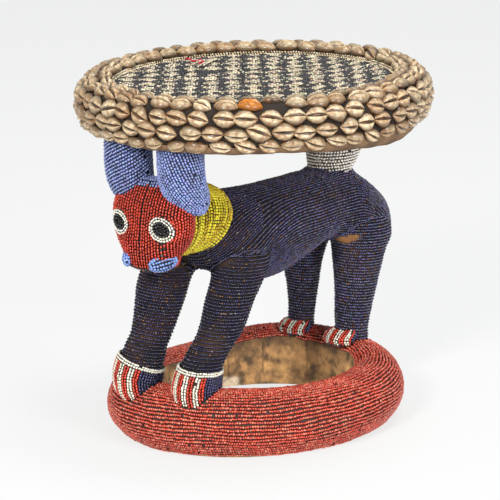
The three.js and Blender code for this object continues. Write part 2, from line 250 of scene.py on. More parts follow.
def surfaceAt(form, t, turn):
    # point of the form at distance t along it and angle turn round it, a superellipse of its power
    midA, midB, halfA, halfB = sectionAt(form, t)
    squared = 2.0 / form["power"]
    cosine = np.cos(turn)
    sine = np.sin(turn)
    out = np.empty(np.broadcast(t, turn).shape + (3,))
    out[..., form["side"][0]] = midA + halfA * np.sign(cosine) * np.abs(cosine) ** squared
    out[..., form["side"][1]] = midB + halfB * np.sign(sine) * np.abs(sine) ** squared
    out[..., form["long"]] = t
    if any(form["lean"]):
        out[..., 2] += leanAt(form, out[..., 0], out[..., 1], out[..., 2])
    return out


def ratioAt(form, p):
    # 1 on the form's face, less inside it
    midA, midB, halfA, halfB = sectionAt(form, p[:, form["long"]])
    a = np.abs((p[:, form["side"][0]] - midA) / halfA)
    b = np.abs((p[:, form["side"][1]] - midB) / halfB)
    return (a ** form["power"] + b ** form["power"]) ** (1 / form["power"])


def distanceTo(form, p):
    # the ratio over its slope, close to the true distance near the face, and cut off at the form's two ends
    step = fineness["slopeStep"]
    if any(form["lean"]):
        level = p[:, 2]
        for _ in range(3):
            level = p[:, 2] - leanAt(form, p[:, 0], p[:, 1], level)
        p = np.column_stack([p[:, :2], level])
    base = ratioAt(form, p)
    slope = np.stack([ratioAt(form, p + step * np.eye(3)[k]) - base for k in range(3)], axis=1) / step
    smallest = 0.5 / max(form["half"][0].max(), form["half"][1].max())
    away = (base - 1) / np.maximum(np.linalg.norm(slope, axis=1), smallest)
    t = p[:, form["long"]]
    return np.maximum(away, np.maximum(form["t"][0] - t, t - form["t"][-1]))


def blendedDistance(forms, p, softness):
    # the smallest distance, rounded where two are within the softness of each other
    total = distanceTo(forms[0], p)
    for form in forms[1:]:
        other = distanceTo(form, p)
        near = np.clip(softness - np.abs(total - other), 0, None) / max(softness, 1e-6)
        total = np.minimum(total, other) - near ** 2 * softness / 4
    return total


def slopeOf(field, p):
    # the field's value and its slope along the three axes, from short steps
    step = fineness["settleStep"]
    base = field(p)
    slope = np.stack([field(p + step * np.eye(3)[k]) - base for k in range(3)], axis=1) / step
    return base, slope


def settle(field, p, height, rounds=4):
    # steps along the field's slope until every point stands at its height over the face
    for _ in range(rounds):
        value, slope = slopeOf(field, p)
        square = np.maximum((slope ** 2).sum(axis=1), fineness["leastSlope"])
        move = np.clip((value - height) / square, -fineness["farthestMove"], fineness["farthestMove"])
        p = p - move[:, None] * slope
    return p


def normalsOf(field, p):
    # the slope at unit length
    return unit(slopeOf(field, p)[1])


legs = {name: levelForm(table) for name, table in legTables.items()}
pawLean = {"frontLeft": (-0.11, -0.1), "frontRight": (-0.32, -0.28)}
paws = {name: levelForm(table, 2.0, pawLean.get(name, (0.0, 0.0))) for name, table in pawTables.items()}
ears = {name: levelForm(table) for name, table in earTables.items()}
head = levelForm(headTable, 3.0)
tail = levelForm(tailTable)
tailRoot = levelForm(tailRootTable)
trunk = uprightForm(trunkTable)
bodyForms = [trunk, *legs.values(), tailRoot]
bodySoftness = 9.0


def bodyField(p):
    # distance to the body's soft skin
    return blendedDistance(bodyForms, p, bodySoftness)


# radius that makes the collar's ratio millimetres, and its reach past its ends
collarSize = {"radius": 37.0, "past": 0.6}
collarRows = smoothRows(collarTable, fineness["collarRows"])


def spun(a, b, angle):
    # two coordinates turned by an angle
    return a * np.cos(angle) - b * np.sin(angle), a * np.sin(angle) + b * np.cos(angle)


def collarPoint(share, turn):
    # leaning oval section at a share of the collar's length, turn 0 at the top
    shares = np.linspace(0, 1, len(collarRows))
    y, z, wide, high, lean = (np.interp(share, shares, collarRows[:, k]) for k in range(5))
    lean = np.radians(lean)
    x = placing["animalX"] + wide * np.sin(turn)
    up = high * np.cos(turn)
    return np.stack([x, y + up * np.sin(lean), z + up * np.cos(lean)], axis=-1)


def collarDistance(p):
    # finds the section whose plane holds the point, then compares it with that oval
    y, z, wide, high, lean = (collarRows[:, k][None, :] for k in range(5))
    lean = np.radians(lean)
    off = (p[:, 1:2] - y) * np.cos(lean) - (p[:, 2:3] - z) * np.sin(lean)
    nearest = np.abs(off).argmin(axis=1)
    tilt = lean[0, nearest]
    up = (p[:, 1] - y[0, nearest]) * np.sin(tilt) + (p[:, 2] - z[0, nearest]) * np.cos(tilt)
    ratio = np.hypot((p[:, 0] - placing["animalX"]) / wide[0, nearest], up / high[0, nearest])
    past = np.abs(off[np.arange(len(p)), nearest]) - collarSize["past"]
    return np.maximum((ratio - 1) * collarSize["radius"], past)


# ring foot and seat

ringShape = {
    "wide": 0.933, "long": 1.07, "crest": 59.0,
    "beads": [[143, 2], [150, 15], [150, 36], [138, 53.5], [117, 59], [100, 53]],
    "uneven": [[-180, -8], [-150, -5], [-105, 0], [-60, 6], [-30, 4], [20, 3], [45, 0], [60, 1], [90, 4],
               [105, 6], [125, 6], [142, 2], [160, -7], [180, -8]],  # turn in degrees, rise of the crest
    "easing": (-8, -4, 0, 4, 8),
}
seatShape = {
    "slope": 1.6, "pivot": 328.0, "floor": 343.6, "panelRadius": 139.8, "underside": 306.0,
    "rim": [[163, 308], [167.5, 316], [169.6, 327], [168.4, 337], [163.8, 344.4], [156, 348.4],
            [148, 348.6], [142, 346]],
}


def profileLine(points, count, smoothing=4):
    # rounds a profile by cutting its corners, then spaces points evenly along it
    line = np.asarray(points, float)
    for _ in range(smoothing):
        early = 0.75 * line[:-1] + 0.25 * line[1:]
        late = 0.25 * line[:-1] + 0.75 * line[1:]
        inner = np.concatenate([early, late], axis=1)
        line = np.vstack([line[:1], inner.reshape(-1, 2)[1:-1], line[-1:]])
    along = lengthAlong(line)
    spots = np.linspace(0, along[-1], count)
    out = np.stack([np.interp(spots, along, line[:, k]) for k in range(2)], axis=1)
    return out, along[-1]


def profileNormals(line):
    # to the right of the profile as it runs, away from its own material
    step = np.gradient(line, axis=0)
    return unit(np.stack([step[:, 1], -step[:, 0]], axis=1))


def ringRise(turn):
    # the crest's height against its own level at a turn, eased between the rows of its table
    table = np.array(ringShape["uneven"])
    spread = np.radians(ringShape["easing"])
    at = np.degrees((np.asarray(turn, float)[..., None] + spread + np.pi) % (2 * np.pi) - np.pi)
    return 1 + np.interp(at, table[:, 0], table[:, 1]).mean(axis=-1) / ringShape["crest"]


def ringPoint(radius, z, turn):
    # a circle's point widened to the ring's oval, its height following the rise
    x = radius * np.cos(turn) * ringShape["wide"]
    y = radius * np.sin(turn) * ringShape["long"]
    return np.stack(np.broadcast_arrays(x, y, z * ringRise(turn)), axis=-1)


ringLine, _ = profileLine(ringShape["beads"], 120)
ringOut = profileNormals(ringLine)


def ringDistance(p):
    # distance to the nearest point of the ring's profile, negative on its inner side
    flatX = p[:, 0] / ringShape["wide"]
    flatY = p[:, 1] / ringShape["long"]
    across = np.stack([np.hypot(flatX, flatY), p[:, 2] / ringRise(np.arctan2(flatY, flatX))], axis=1)
    away = across[:, None] - ringLine[None]
    nearest = np.square(away).sum(axis=2).argmin(axis=1)
    away = away[np.arange(len(p)), nearest]
    return np.linalg.norm(away, axis=1) * np.where((away * ringOut[nearest]).sum(axis=1) > 0, 1, -1)


def sloped(points):
    # turns the seat's points by its slope about the x axis at the pivot's level
    angle = np.radians(seatShape["slope"])
    p = np.array(points, float)
    y, z = spun(p[..., 1], p[..., 2] - seatShape["pivot"], angle)
    return np.stack([p[..., 0], y, z + seatShape["pivot"]], axis=-1)


def seatUnder(p):
    # negative above the seat's underside
    angle = np.radians(seatShape["slope"])
    return seatShape["underside"] + p[:, 1] * np.sin(angle) - p[:, 2]


# meshes

def makePiece(name, points, faces, material, nodes, slotName, colours=None, cells=None):
    # points in millimetres; faces is an (n, k) array; colours per point; cells the uv of each corner
    mesh = bpy.data.meshes.new(name)
    faces = np.asarray(faces)
    count, sides = faces.shape
    mesh.vertices.add(len(points))
    mesh.vertices.foreach_set("co", toScene(points).astype(np.float32).ravel())
    mesh.loops.add(count * sides)
    mesh.loops.foreach_set("vertex_index", faces.astype(np.int32).ravel())
    mesh.polygons.add(count)
    mesh.polygons.foreach_set("loop_start", np.arange(0, count * sides, sides, dtype=np.int32))
    mesh.polygons.foreach_set("loop_total", np.full(count, sides, dtype=np.int32))
    mesh.polygons.foreach_set("use_smooth", np.full(count, True))
    if colours is not None:
        layer = mesh.color_attributes.new("pieceColour", "FLOAT_COLOR", "POINT")
        rgba = np.ones((len(points), 4), np.float32)
        rgba[:, :3] = colours
        layer.data.foreach_set("color", rgba.ravel())
    if cells is not None:
        layer = mesh.uv_layers.new(name="OFBake")
        layer.data.foreach_set("uv", np.asarray(cells, np.float32).ravel())
    mesh.update(calc_edges=True)
    mesh.validate()
    mesh.materials.append(material)
    piece = bpy.data.objects.new(name, mesh)
    bpy.context.collection.objects.link(piece)
    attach(piece, "root")
    if nodes:
        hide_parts(*nodes)


def gridFaces(rows, columns, closedRows=False):
    # the four corners of each cell of a grid of points; its columns close on themselves, its rows may
    row = np.arange(rows if closedRows else rows - 1)[:, None]
    column = np.arange(columns)[None, :]
    nextRow = (row + 1) % rows * columns
    nextColumn = (column + 1) % columns
    row = row * columns
    corners = [row + column, row + nextColumn, nextRow + nextColumn, nextRow + column]
    return np.stack(corners, axis=-1).reshape(-1, 4)


def closedTube(grid):
    # mesh of rows of closed sections, drawn together to a small point at both ends
    first = grid[0].mean(axis=0)
    last = grid[-1].mean(axis=0)
    startLid = first + (grid[0] - first) * fineness["lid"]
    endLid = last + (grid[-1] - last) * fineness["lid"]
    rows = np.concatenate([startLid[None], grid, endLid[None]])
    points = rows.reshape(-1, 3)
    return points, facingOut(points, gridFaces(len(rows), grid.shape[1]))


def closedLoop(points, sides):
    # mesh of a closed section's points carried once round
    return points, facingOut(points, gridFaces(sides, len(points) // sides, closedRows=True))


def joined(parts):
    # several meshes as one: their points in order, each one's faces counted on from the points before it
    starts = np.cumsum([0] + [len(points) for points, _ in parts[:-1]])
    faces = [part[1] + start for part, start in zip(parts, starts)]
    return np.concatenate([part[0] for part in parts]), np.concatenate(faces)


def facingOut(points, faces):
    # flips all faces if the closed surface's volume comes out negative
    corner = points[faces]
    volume = np.einsum("ij,ij->i", corner[:, 0], np.cross(corner[:, 1], corner[:, 2])).sum()
    volume += np.einsum("ij,ij->i", corner[:, 0], np.cross(corner[:, 2], corner[:, 3])).sum()
    return faces if volume > 0 else faces[:, ::-1]


# bead rows

rowShape = {
    "finer": 4, "first": 2, "along": 220, "around": 240, "ringAround": 150, "edge": 0.35,
    "smoothAlong": 9, "smoothAcross": 6, "closest": 0.03, "mostHalvings": 4,
}


def eased(values):
    # 0 to 1 with a level start and end
    share = np.clip(values, 0, 1)
    return share * share * (3 - 2 * share)


def lengthwiseRows(form, start, end, spacing, topTurn, warp=None):
    # rows at equal distances to both sides of a first line along the form, four times as close as wanted
    samples = rowShape["along"]
    levels = np.linspace(start, end, samples)
    turns = np.linspace(-np.pi, np.pi, rowShape["around"] + 1)
    grid = surfaceAt(form, levels[:, None], topTurn + turns[None, :])
    steps = np.linalg.norm(np.diff(grid, axis=1), axis=2)
    arc = np.concatenate([np.zeros((samples, 1)), np.cumsum(steps, axis=1)], axis=1)
    arc -= arc[:, rowShape["around"] // 2][:, None]
    reach = np.minimum(-arc[:, 0], arc[:, -1])
    widest = reach.max() if warp is None else reach.max() + np.abs(warp(levels, reach)).max()
    count = rowShape["finer"] * int(widest / spacing + 1)
    number = np.arange(rowShape["first"] - count, count)
    offsets = spacing / rowShape["finer"] * number
    bend = 0 if warp is None else warp(levels[None, :], offsets[:, None])
    wanted = np.broadcast_to(offsets[:, None] + bend, (len(offsets), samples))
    found = np.stack([np.interp(wanted[:, i], arc[i], turns) for i in range(samples)], axis=1)
    inside = np.abs(wanted) < reach[None, :] - rowShape["edge"] * spacing
    return surfaceAt(form, levels[None, :], topTurn + found), inside, number


def ringRows(form, start, end, spacing, tilt=0.0, tiltTurn=0.0, rise=0.0):
    # rows round the form, four times as close as wanted, tilted like a cut disc, or rising over each turn
    levels = np.arange(start, end, spacing / rowShape["finer"])
    turn = np.linspace(0, 2 * np.pi, rowShape["ringAround"])
    turns = turn / (2 * np.pi) - 0.5
    t = levels[:, None] + tilt * np.cos(turn - tiltTurn)[None, :] + rise * turns[None, :]
    inside = (t > form["t"][0]) & (t < form["t"][-1])
    return surfaceAt(form, t, turn[None, :]), inside, np.arange(len(levels))


def thinned(rows, inside, number, spacing, slack):
    # where fine rows stand at the distance wanted all are kept, and where they stand closer each second,
    # fourth, eighth or sixteenth one; their distance is measured square to them, then smoothed, and they end
    # at most slack times too far apart
    ahead = unit(np.gradient(rows, axis=1))
    apart = np.gradient(rows, axis=0)
    apart -= ahead * (apart * ahead).sum(axis=2, keepdims=True)
    apart = np.linalg.norm(apart, axis=2)
    along = rowShape["smoothAlong"]
    apart = sum(np.roll(apart, k, axis=1) for k in range(-along, along + 1)) / (2 * along + 1)
    across = rowShape["smoothAcross"]
    wide = np.pad(apart, ((across, across), (0, 0)), mode="edge")
    apart = sum(wide[k:k + len(apart)] for k in range(2 * across + 1)) / (2 * across + 1)
    closeness = slack * spacing / np.maximum(apart, rowShape["closest"] * spacing)
    step = 2 ** np.clip(np.floor(np.log2(closeness)), 0, rowShape["mostHalvings"]).astype(int)
    number = number - rowShape["first"]
    inside = inside & (number[:, None] % step == 0)
    used = inside.any(axis=1)
    return rows[used], inside[used], number[used] // rowShape["finer"]


beadShape = {
    "start": (0.3, 0.7), "aim": 0.6, "inside": 0.98,
    "jitter": 0.14, "sizeSpread": 0.08, "sizes": (0.8, 1.2), "turnSpread": 0.13,
    # crown, flank and foot scale each bead's colour: painted highlight on top, painted shade down the sides
    # and underneath
    "crown": 1.45, "flank": 0.37, "foot": 0.14, "lightness": (0.5, 1.6), "brightest": 2.0, "darkest": 0.002,
}


def placeBeads(rows, inside, labels, pitch):
    # equal steps along every row; gives the beads' middles, directions and row labels
    found = []
    for points, use, label in zip(rows, inside, labels):
        along = lengthAlong(points)
        count = int(along[-1] / pitch)
        if count < 2:
            continue
        spots = (np.arange(count) + rng.uniform(*beadShape["start"])) * along[-1] / count
        aim = beadShape["aim"]
        middles, ahead, behind = (
            np.stack([np.interp(at, along, points[:, k]) for k in range(3)], axis=1)
            for at in (spots, spots + aim, spots - aim))
        keep = np.interp(spots, along, use.astype(float)) > beadShape["inside"]
        found.append((middles[keep], (ahead - behind)[keep], np.full(keep.sum(), label)))
    middles, directions, rowOf = (np.concatenate(part) for part in zip(*found))
    return middles, unit(directions), rowOf


def placeAll(rows, pitch):
    # the same along the whole of every row, the rows numbered in their order
    return placeBeads(rows, np.ones(rows.shape[:2], bool), range(len(rows)), pitch)


def beadMesh(middles, directions, normals, length, radius, colours):
    # each bead is a short square bar on edge along its row, with painted light and shade: a lighter crown,
    # darker flanks and a darker foot
    n = len(middles)
    across = unit(np.cross(directions, normals))
    turn = rng.normal(0, beadShape["turnSpread"], n)[:, None]
    along = directions * np.cos(turn) + across * np.sin(turn)
    side = unit(np.cross(along, normals))
    up = np.cross(side, along)
    size = rng.normal(1, beadShape["sizeSpread"], (n, 2)).clip(*beadShape["sizes"])
    middle = middles + rng.normal(0, beadShape["jitter"], (n, 3))
    half = (np.broadcast_to(length, n) / 2 * size[:, 0])[:, None]
    around = (np.broadcast_to(radius, n) * size[:, 1])[:, None]
    points = np.empty((n, 8, 3))
    # painted highlight on the crown and painted shade on the flanks and foot
    paintedShading = np.array([beadShape[key] for key in ("flank", "crown", "flank", "foot")] * 2)
    shaded = np.asarray(colours)[:, None, :] * paintedShading[None, :, None]
    for j, (s, u) in enumerate(((1, 0), (0, 1), (-1, 0), (0, -1))):
        ring = middle + side * around * s + up * around * u
        points[:, j] = ring - along * half
        points[:, j + 4] = ring + along * half
    quads = np.array([[0, 1, 5, 4], [1, 2, 6, 5], [2, 3, 7, 6], [3, 0, 4, 7], [3, 2, 1, 0], [4, 5, 6, 7]])
    faces = (np.arange(n)[:, None, None] * 8 + quads[None]).reshape(-1, 4)
    return points.reshape(-1, 3), faces, shaded.reshape(-1, 3).clip(beadShape["darkest"], 1)


def tinted(colour, count, spread=0.12, hue=0.04):
    # a linear colour with a bead-by-bead change of lightness and a little of hue
    base = np.tile(np.asarray(colour, float), (count, 1))
    base *= rng.normal(1, spread, (count, 1)).clip(*beadShape["lightness"])
    return (base * rng.normal(1, hue, (count, 3))).clip(beadShape["darkest"], beadShape["brightest"])


def repaint(colours, where, colour, *spread):
    # gives the marked beads another colour, tinted bead by bead
    colours[where] = tinted(colour, int(where.sum()), *spread)


def beadPiece(name, parts, slotName):
    # parts: list of (middles, directions, normals, length, radius, colours); every bead has its own square
    # of the uv map
    meshes = [beadMesh(*part) for part in parts]
    points, faces = joined([mesh[:2] for mesh in meshes])
    count = len(points) // 8
    perSide = int(np.ceil(np.sqrt(count)))
    cell = np.stack([np.arange(count) % perSide, np.arange(count) // perSide], axis=1)
    corner = np.array([[0.3, 0.3], [0.7, 0.3], [0.7, 0.7], [0.3, 0.7]])
    cells = np.broadcast_to((cell[:, None, None, :] + corner[None, None]) / perSide, (count, 6, 4, 2))
    print(name, count, "beads")
    makePiece(name, points, faces, finishes["glassBeads"], [], slotName,
              colours=np.concatenate([mesh[2] for mesh in meshes]), cells=cells.reshape(-1, 2))


# shader groups and materials

def newGroup(name, inputs, outputs):
    # an empty node group with its named sockets, and its two end nodes
    group = bpy.data.node_groups.new(name, "ShaderNodeTree")
    for label, kind, value in inputs:
        socket = group.interface.new_socket(label, in_out="INPUT", socket_type=kind)
        socket.default_value = value
    for label, kind in outputs:
        group.interface.new_socket(label, in_out="OUTPUT", socket_type=kind)
    return group, group.nodes.new("NodeGroupInput"), group.nodes.new("NodeGroupOutput")


def makeMottleGroup():
    # colour darkened and shifted by two sizes of noise in object space, and a noise height
    group, given, out = newGroup("mottle", [
        ("Colour", "NodeSocketColor", (0.5, 0.5, 0.5, 1)),
        ("Stain", "NodeSocketColor", (0.1, 0.06, 0.03, 1)),
        ("Amount", "NodeSocketFloat", 0.3),
        ("Coarse", "NodeSocketFloat", 30.0),
        ("Fine", "NodeSocketFloat", 400.0),
    ], [("Colour", "NodeSocketColor"), ("Height", "NodeSocketFloat")])
    links = group.links
    coords = group.nodes.new("ShaderNodeTexCoord")
    coarse = group.nodes.new("ShaderNodeTexNoise")
    fine = group.nodes.new("ShaderNodeTexNoise")
    for noise, label in ((coarse, "Coarse"), (fine, "Fine")):
        links.new(coords.outputs["Object"], noise.inputs["Vector"])
        links.new(given.outputs[label], noise.inputs["Scale"])
        noise.inputs["Detail"].default_value = 3
    ramp = group.nodes.new("ShaderNodeMapRange")
    ramp.inputs["From Min"].default_value = 0.42
    ramp.inputs["From Max"].default_value = 0.68
    links.new(coarse.outputs["Fac"], ramp.inputs["Value"])
    scaled = group.nodes.new("ShaderNodeMath")
    scaled.operation = "MULTIPLY"
    links.new(ramp.outputs["Result"], scaled.inputs[0])
    links.new(given.outputs["Amount"], scaled.inputs[1])
    mix = group.nodes.new("ShaderNodeMix")
    mix.data_type = "RGBA"
    links.new(scaled.outputs[0], mix.inputs["Factor"])
    links.new(given.outputs["Colour"], mix.inputs["A"])
    links.new(given.outputs["Stain"], mix.inputs["B"])
    links.new(mix.outputs["Result"], out.inputs["Colour"])
    links.new(fine.outputs["Fac"], out.inputs["Height"])
    return group


mottle = makeMottleGroup()


def paintedBy(name, stain, amount, coarse, roughness, specular=0.5, bump=0.0, fine=900.0, colour=None):
    # a surface whose colour comes from the piece's own colours, or a plain one, mottled with a stain
    material = bpy.data.materials.new(name)
    material.use_nodes = True
    nodes = material.node_tree.nodes
    links = material.node_tree.links
    shader = nodes["Principled BSDF"]
    shader.inputs["Roughness"].default_value = roughness
    shader.inputs["Specular IOR Level"].default_value = specular
    group = nodes.new("ShaderNodeGroup")
    group.node_tree = mottle
    group.inputs["Stain"].default_value = (*stain, 1)
    group.inputs["Amount"].default_value = amount
    group.inputs["Coarse"].default_value = coarse
    group.inputs["Fine"].default_value = fine
    if colour is None:
        attribute = nodes.new("ShaderNodeAttribute")
        attribute.attribute_name = "pieceColour"
        links.new(attribute.outputs["Color"], group.inputs["Colour"])
    else:
        group.inputs["Colour"].default_value = (*colour, 1)
    links.new(group.outputs["Colour"], shader.inputs["Base Color"])
    if bump > 0:
        node = nodes.new("ShaderNodeBump")
        node.inputs["Strength"].default_value = bump
        node.inputs["Distance"].default_value = 0.001
        links.new(group.outputs["Height"], node.inputs["Height"])
        links.new(node.outputs["Normal"], shader.inputs["Normal"])
    return material


finishLooks = {  # stain, its amount, its coarseness, roughness, and what else is not as usual
    "glassBeads": ((0.05, 0.035, 0.025), 0.2, 45, 0.26, {"specular": 0.6}),
    "earCloth": ((0.012, 0.012, 0.02), 0.5, 60, 0.95, {"bump": 0.6, "colour": (0.022, 0.026, 0.06)}),
    "navyCloth": ((0.07, 0.03, 0.013), 0.7, 32, 0.95, {"bump": 0.6}),
    "ringCloth": ((0.03, 0.018, 0.015), 0.6, 60, 0.95, {"bump": 0.6, "colour": (0.05, 0.042, 0.036)}),
    "darkCloth": ((0.04, 0.028, 0.018), 0.6, 60, 0.95, {"bump": 0.6, "colour": (0.008, 0.007, 0.007)}),
    "brownCloth": ((0.06, 0.035, 0.02), 0.8, 60, 0.95, {"bump": 0.8, "colour": (0.21, 0.12, 0.06)}),
    "rimCloth": ((0.008, 0.006, 0.005), 0.7, 90, 0.95, {"bump": 0.8, "colour": (0.02, 0.012, 0.008)}),
    "shell": ((0.17, 0.066, 0.018), 0.75, 260, 0.3, {}),
    "wood": ((0.05, 0.032, 0.02), 0.85, 85, 0.85, {"bump": 1.0, "fine": 420}),
    "thread": ((0.3, 0.01, 0.02), 0.5, 200, 0.8, {"colour": (0.6, 0.02, 0.05)}),
}
finishes = {name: paintedBy(name, *plain, **special) for name, (*plain, special) in finishLooks.items()}
print("materials ready")


# the navy body: trunk, haunches and legs under one soft skin

bodyLook = {
    "spacing": 3.0, "pitch": 2.35, "height": -1.1, "length": 1.85, "radius": 1.02, "slack": 1.42,
    "lead": 0.5, "missing": 0.006, "navy": (0.064, 0.06, 0.124), "spread": (0.35, 0.15),
    # the dim values set a painted shade: the beads grow darker towards the head
    "dimmest": 0.3, "dimFrom": -80.0, "dimOver": 150.0, "dimPower": (1.1, 1.1, 0.72),
    "odd": [(0.025, (0.11, 0.1, 0.12)), (0.045, (0.1, 0.045, 0.02))], "oddSpread": 0.3,
    "trunkLeads": 7.0, "leadsFrom": 150.0, "leadsOver": 22.0,
    "trunkRows": (-100.0, 193.5), "rootRows": (196.5, 232.5), "legRows": (50.0, 212.0),
    "legTilt": {"frontRight": 4.0}, "usualTilt": 2.0, "tiltTurn": -1.9,
}
tailLook = {"spacing": 3.2, "pitch": 3.1, "height": -1.2, "length": 2.3, "radius": 1.28,
            # the ivory is raised above white as painted light, brightening the tail in the shade under the
            # seat
            "ivory": (1.55, 1.25, 0.84), "spread": 0.16, "rows": (216.0, 308.0), "tilt": 1.2,
            "tiltTurn": 0.5, "cloth": (210.0, 307.0), "intoBody": -3.0, "rootSoftness": 12.0,
            "paleFrom": 226.0, "paleSlope": 0.17, "paleMiddle": 127.0}
hiding = {"margin": -0.6, "seat": 0.8}


def fieldOf(form):
    # the distance to one form, as a function of the points alone
    return lambda p: distanceTo(form, p)


neighbours = {
    "collar": collarDistance,
    "head": fieldOf(head),
    "tail": lambda p: np.maximum(distanceTo(tail, p), -blendedDistance([tailRoot, trunk], p, 0.0)),
    "seat": lambda p: seatUnder(p) - hiding["seat"],
    "ring": ringDistance,
}
for kind, group in (("ear", ears), ("paw", paws), ("leg", legs)):
    for key, form in group.items():
        neighbours[kind + key] = fieldOf(form)
earNames = ["earleft", "earright"]
pawNames = ["paw" + key for key in paws]


def clearOf(names, p):
    # true where a point is outside every named neighbour, or only just inside it
    keep = np.ones(len(p), bool)
    for name in names:
        keep &= neighbours[name](p) > hiding["margin"]
    return keep


viewAcross = (0.755, 0.656)  # the photo's view runs across the animal along this level direction
patchShape = {"middle": (33.0, 104.0, 166.5), "half": (13.0, 3.4), "slant": 0.2, "deep": 30.0, "edge": 1.25,
              "axes": [[0.755, 0.656, 0.1], [0, 0, 1], [0.656, -0.755, 0]], "bare": (0.36, 0.17, 0.06)}


def patchShare(p):
    # 1 on the edge of the leaning oval where the cloth is bare, more outside it
    across, up, away = ((p - patchShape["middle"]) @ np.array(patchShape["axes"]).T).T
    wide, high = patchShape["half"]
    oval = np.hypot(across / wide, (up - patchShape["slant"] * across) / high)
    return np.hypot(oval, away / patchShape["deep"])


def ownDistance(form, p):
    # distance that decides whose rows cover a place; the trunk's run on over the swelling tops of the legs
    away = distanceTo(form, p)
    if form is trunk:
        rise = (p[:, 2] - bodyLook["leadsFrom"]) / bodyLook["leadsOver"]
        away = away - bodyLook["trunkLeads"] * eased(rise)
    return away


def bodyColours(middles, isRoot, look):
    # navy, with painted shade making it darker towards the head, with a few odd beads; ivory, raised above
    # white as painted light, where the tail's beads reach down its root
    colours = tinted(look["navy"], len(middles), *look["spread"])
    # painted shade: full colour behind, down to the dimmest share towards the head
    lit = eased((middles[:, 1:2] - look["dimFrom"]) / look["dimOver"])
    colours *= (look["dimmest"] + (1 - look["dimmest"]) * lit) ** look["dimPower"]
    for share, colour in look["odd"]:
        odd = rng.random(len(middles)) < share
        repaint(colours, odd, colour, look["oddSpread"])
    if isRoot:
        x = middles[:, 0] - placing["animalX"]
        view = x * viewAcross[0] + (middles[:, 1] - tailLook["paleMiddle"]) * viewAcross[1]
        pale = middles[:, 2] > tailLook["paleFrom"] - tailLook["paleSlope"] * view
        repaint(colours, pale, tailLook["ivory"], tailLook["spread"])
    return colours


def bodyBeads(owner, rows, inside, labels, look):
    # rows are first laid on the blended skin, then beaded, and kept where their own form is the outer one
    laid = settle(bodyField, rows.reshape(-1, 3), look["height"]).reshape(rows.shape)
    laid, use, labels = thinned(laid, inside, labels, look["spacing"], look["slack"])
    others = [form for form in bodyForms if form is not owner]
    flat = laid.reshape(-1, 3)
    lead = ownDistance(owner, flat) - np.min([ownDistance(form, flat) for form in others], axis=0)
    use &= lead.reshape(use.shape) < look["lead"]
    middles, directions, _ = placeBeads(laid, use, labels, look["pitch"])
    keep = clearOf(["head", "collar", "tail", "ring", *earNames, *pawNames], middles)
    keep &= rng.random(len(middles)) > look["missing"]
    keep &= patchShare(middles) > 1
    middles = middles[keep]
    normals = normalsOf(bodyField, middles)
    colours = bodyColours(middles, owner is tailRoot, look)
    return middles, directions[keep], normals, look["length"], look["radius"], colours


flankRows = {"sideFrom": 4.0, "sideOver": 52.0, "frontFrom": 44.0, "frontOver": 130.0, "frontMost": 1.1,
             "frontDrop": 78.0, "hindFrom": 118.0, "hindOver": 72.0, "hindDrop": 38.0}


def flankSweep(t, offsets):
    # rows lie level along the flanks, turn down into the front legs and bend down round the haunches
    f = flankRows
    side = eased((np.abs(offsets) - f["sideFrom"]) / f["sideOver"])
    front = np.clip((f["frontFrom"] - t) / f["frontOver"], 0, f["frontMost"])
    behind = eased((t - f["hindFrom"]) / f["hindOver"])
    return np.sign(offsets) * side * (f["frontDrop"] * front ** 2 + f["hindDrop"] * behind)


rumpDisc = {"y": 195.5, "low": 164.5, "high": 188.0, "halfWide": 14.0, "samples": 60,
            "middle": 176.0, "half": (12.5, 11.5)}


def rumpRows(disc, spacing):
    # level rows across the trunk's blunt end, inside an upright oval
    levels = np.arange(disc["low"], disc["high"], spacing / rowShape["finer"])
    x, z = np.meshgrid(np.linspace(-disc["halfWide"], disc["halfWide"], disc["samples"]), levels)
    rows = np.stack([placing["animalX"] + x, np.full(x.shape, disc["y"]), z], axis=-1)
    wide, high = disc["half"]
    return rows, np.hypot(x / wide, (z - disc["middle"]) / high) < 1, np.arange(len(levels))


def makeBodyBeads(look):
    # one piece for the trunk with the tail's root and the rump, and one for the four legs
    trunkRows = lengthwiseRows(trunk, *look["trunkRows"], look["spacing"], np.pi / 2, flankSweep)
    parts = [bodyBeads(trunk, *trunkRows, look)]
    rootRows = lengthwiseRows(tailRoot, *look["rootRows"], look["spacing"], -np.pi / 2)
    parts.append(bodyBeads(tailRoot, *rootRows, look))
    parts.append(bodyBeads(trunk, *rumpRows(rumpDisc, look["spacing"]), look))
    beadPiece("bodyBeads", parts, "navy_beads")
    parts = []
    for key, form in legs.items():
        tilt = look["legTilt"].get(key, look["usualTilt"])
        rows = ringRows(form, *look["legRows"], look["spacing"], tilt, look["tiltTurn"])
        parts.append(bodyBeads(form, *rows, look))
    beadPiece("legBeads", parts, "navy_beads")


makeBodyBeads(bodyLook)

bodyClothLook = {"depth": -2.2, "inset": 0.5, "rootInset": 5.0, "dive": 6.0, "reach": 14.0,
                 "trunkGrid": (110, 96), "limbGrid": (80, 64), "dark": (0.007, 0.005, 0.004)}


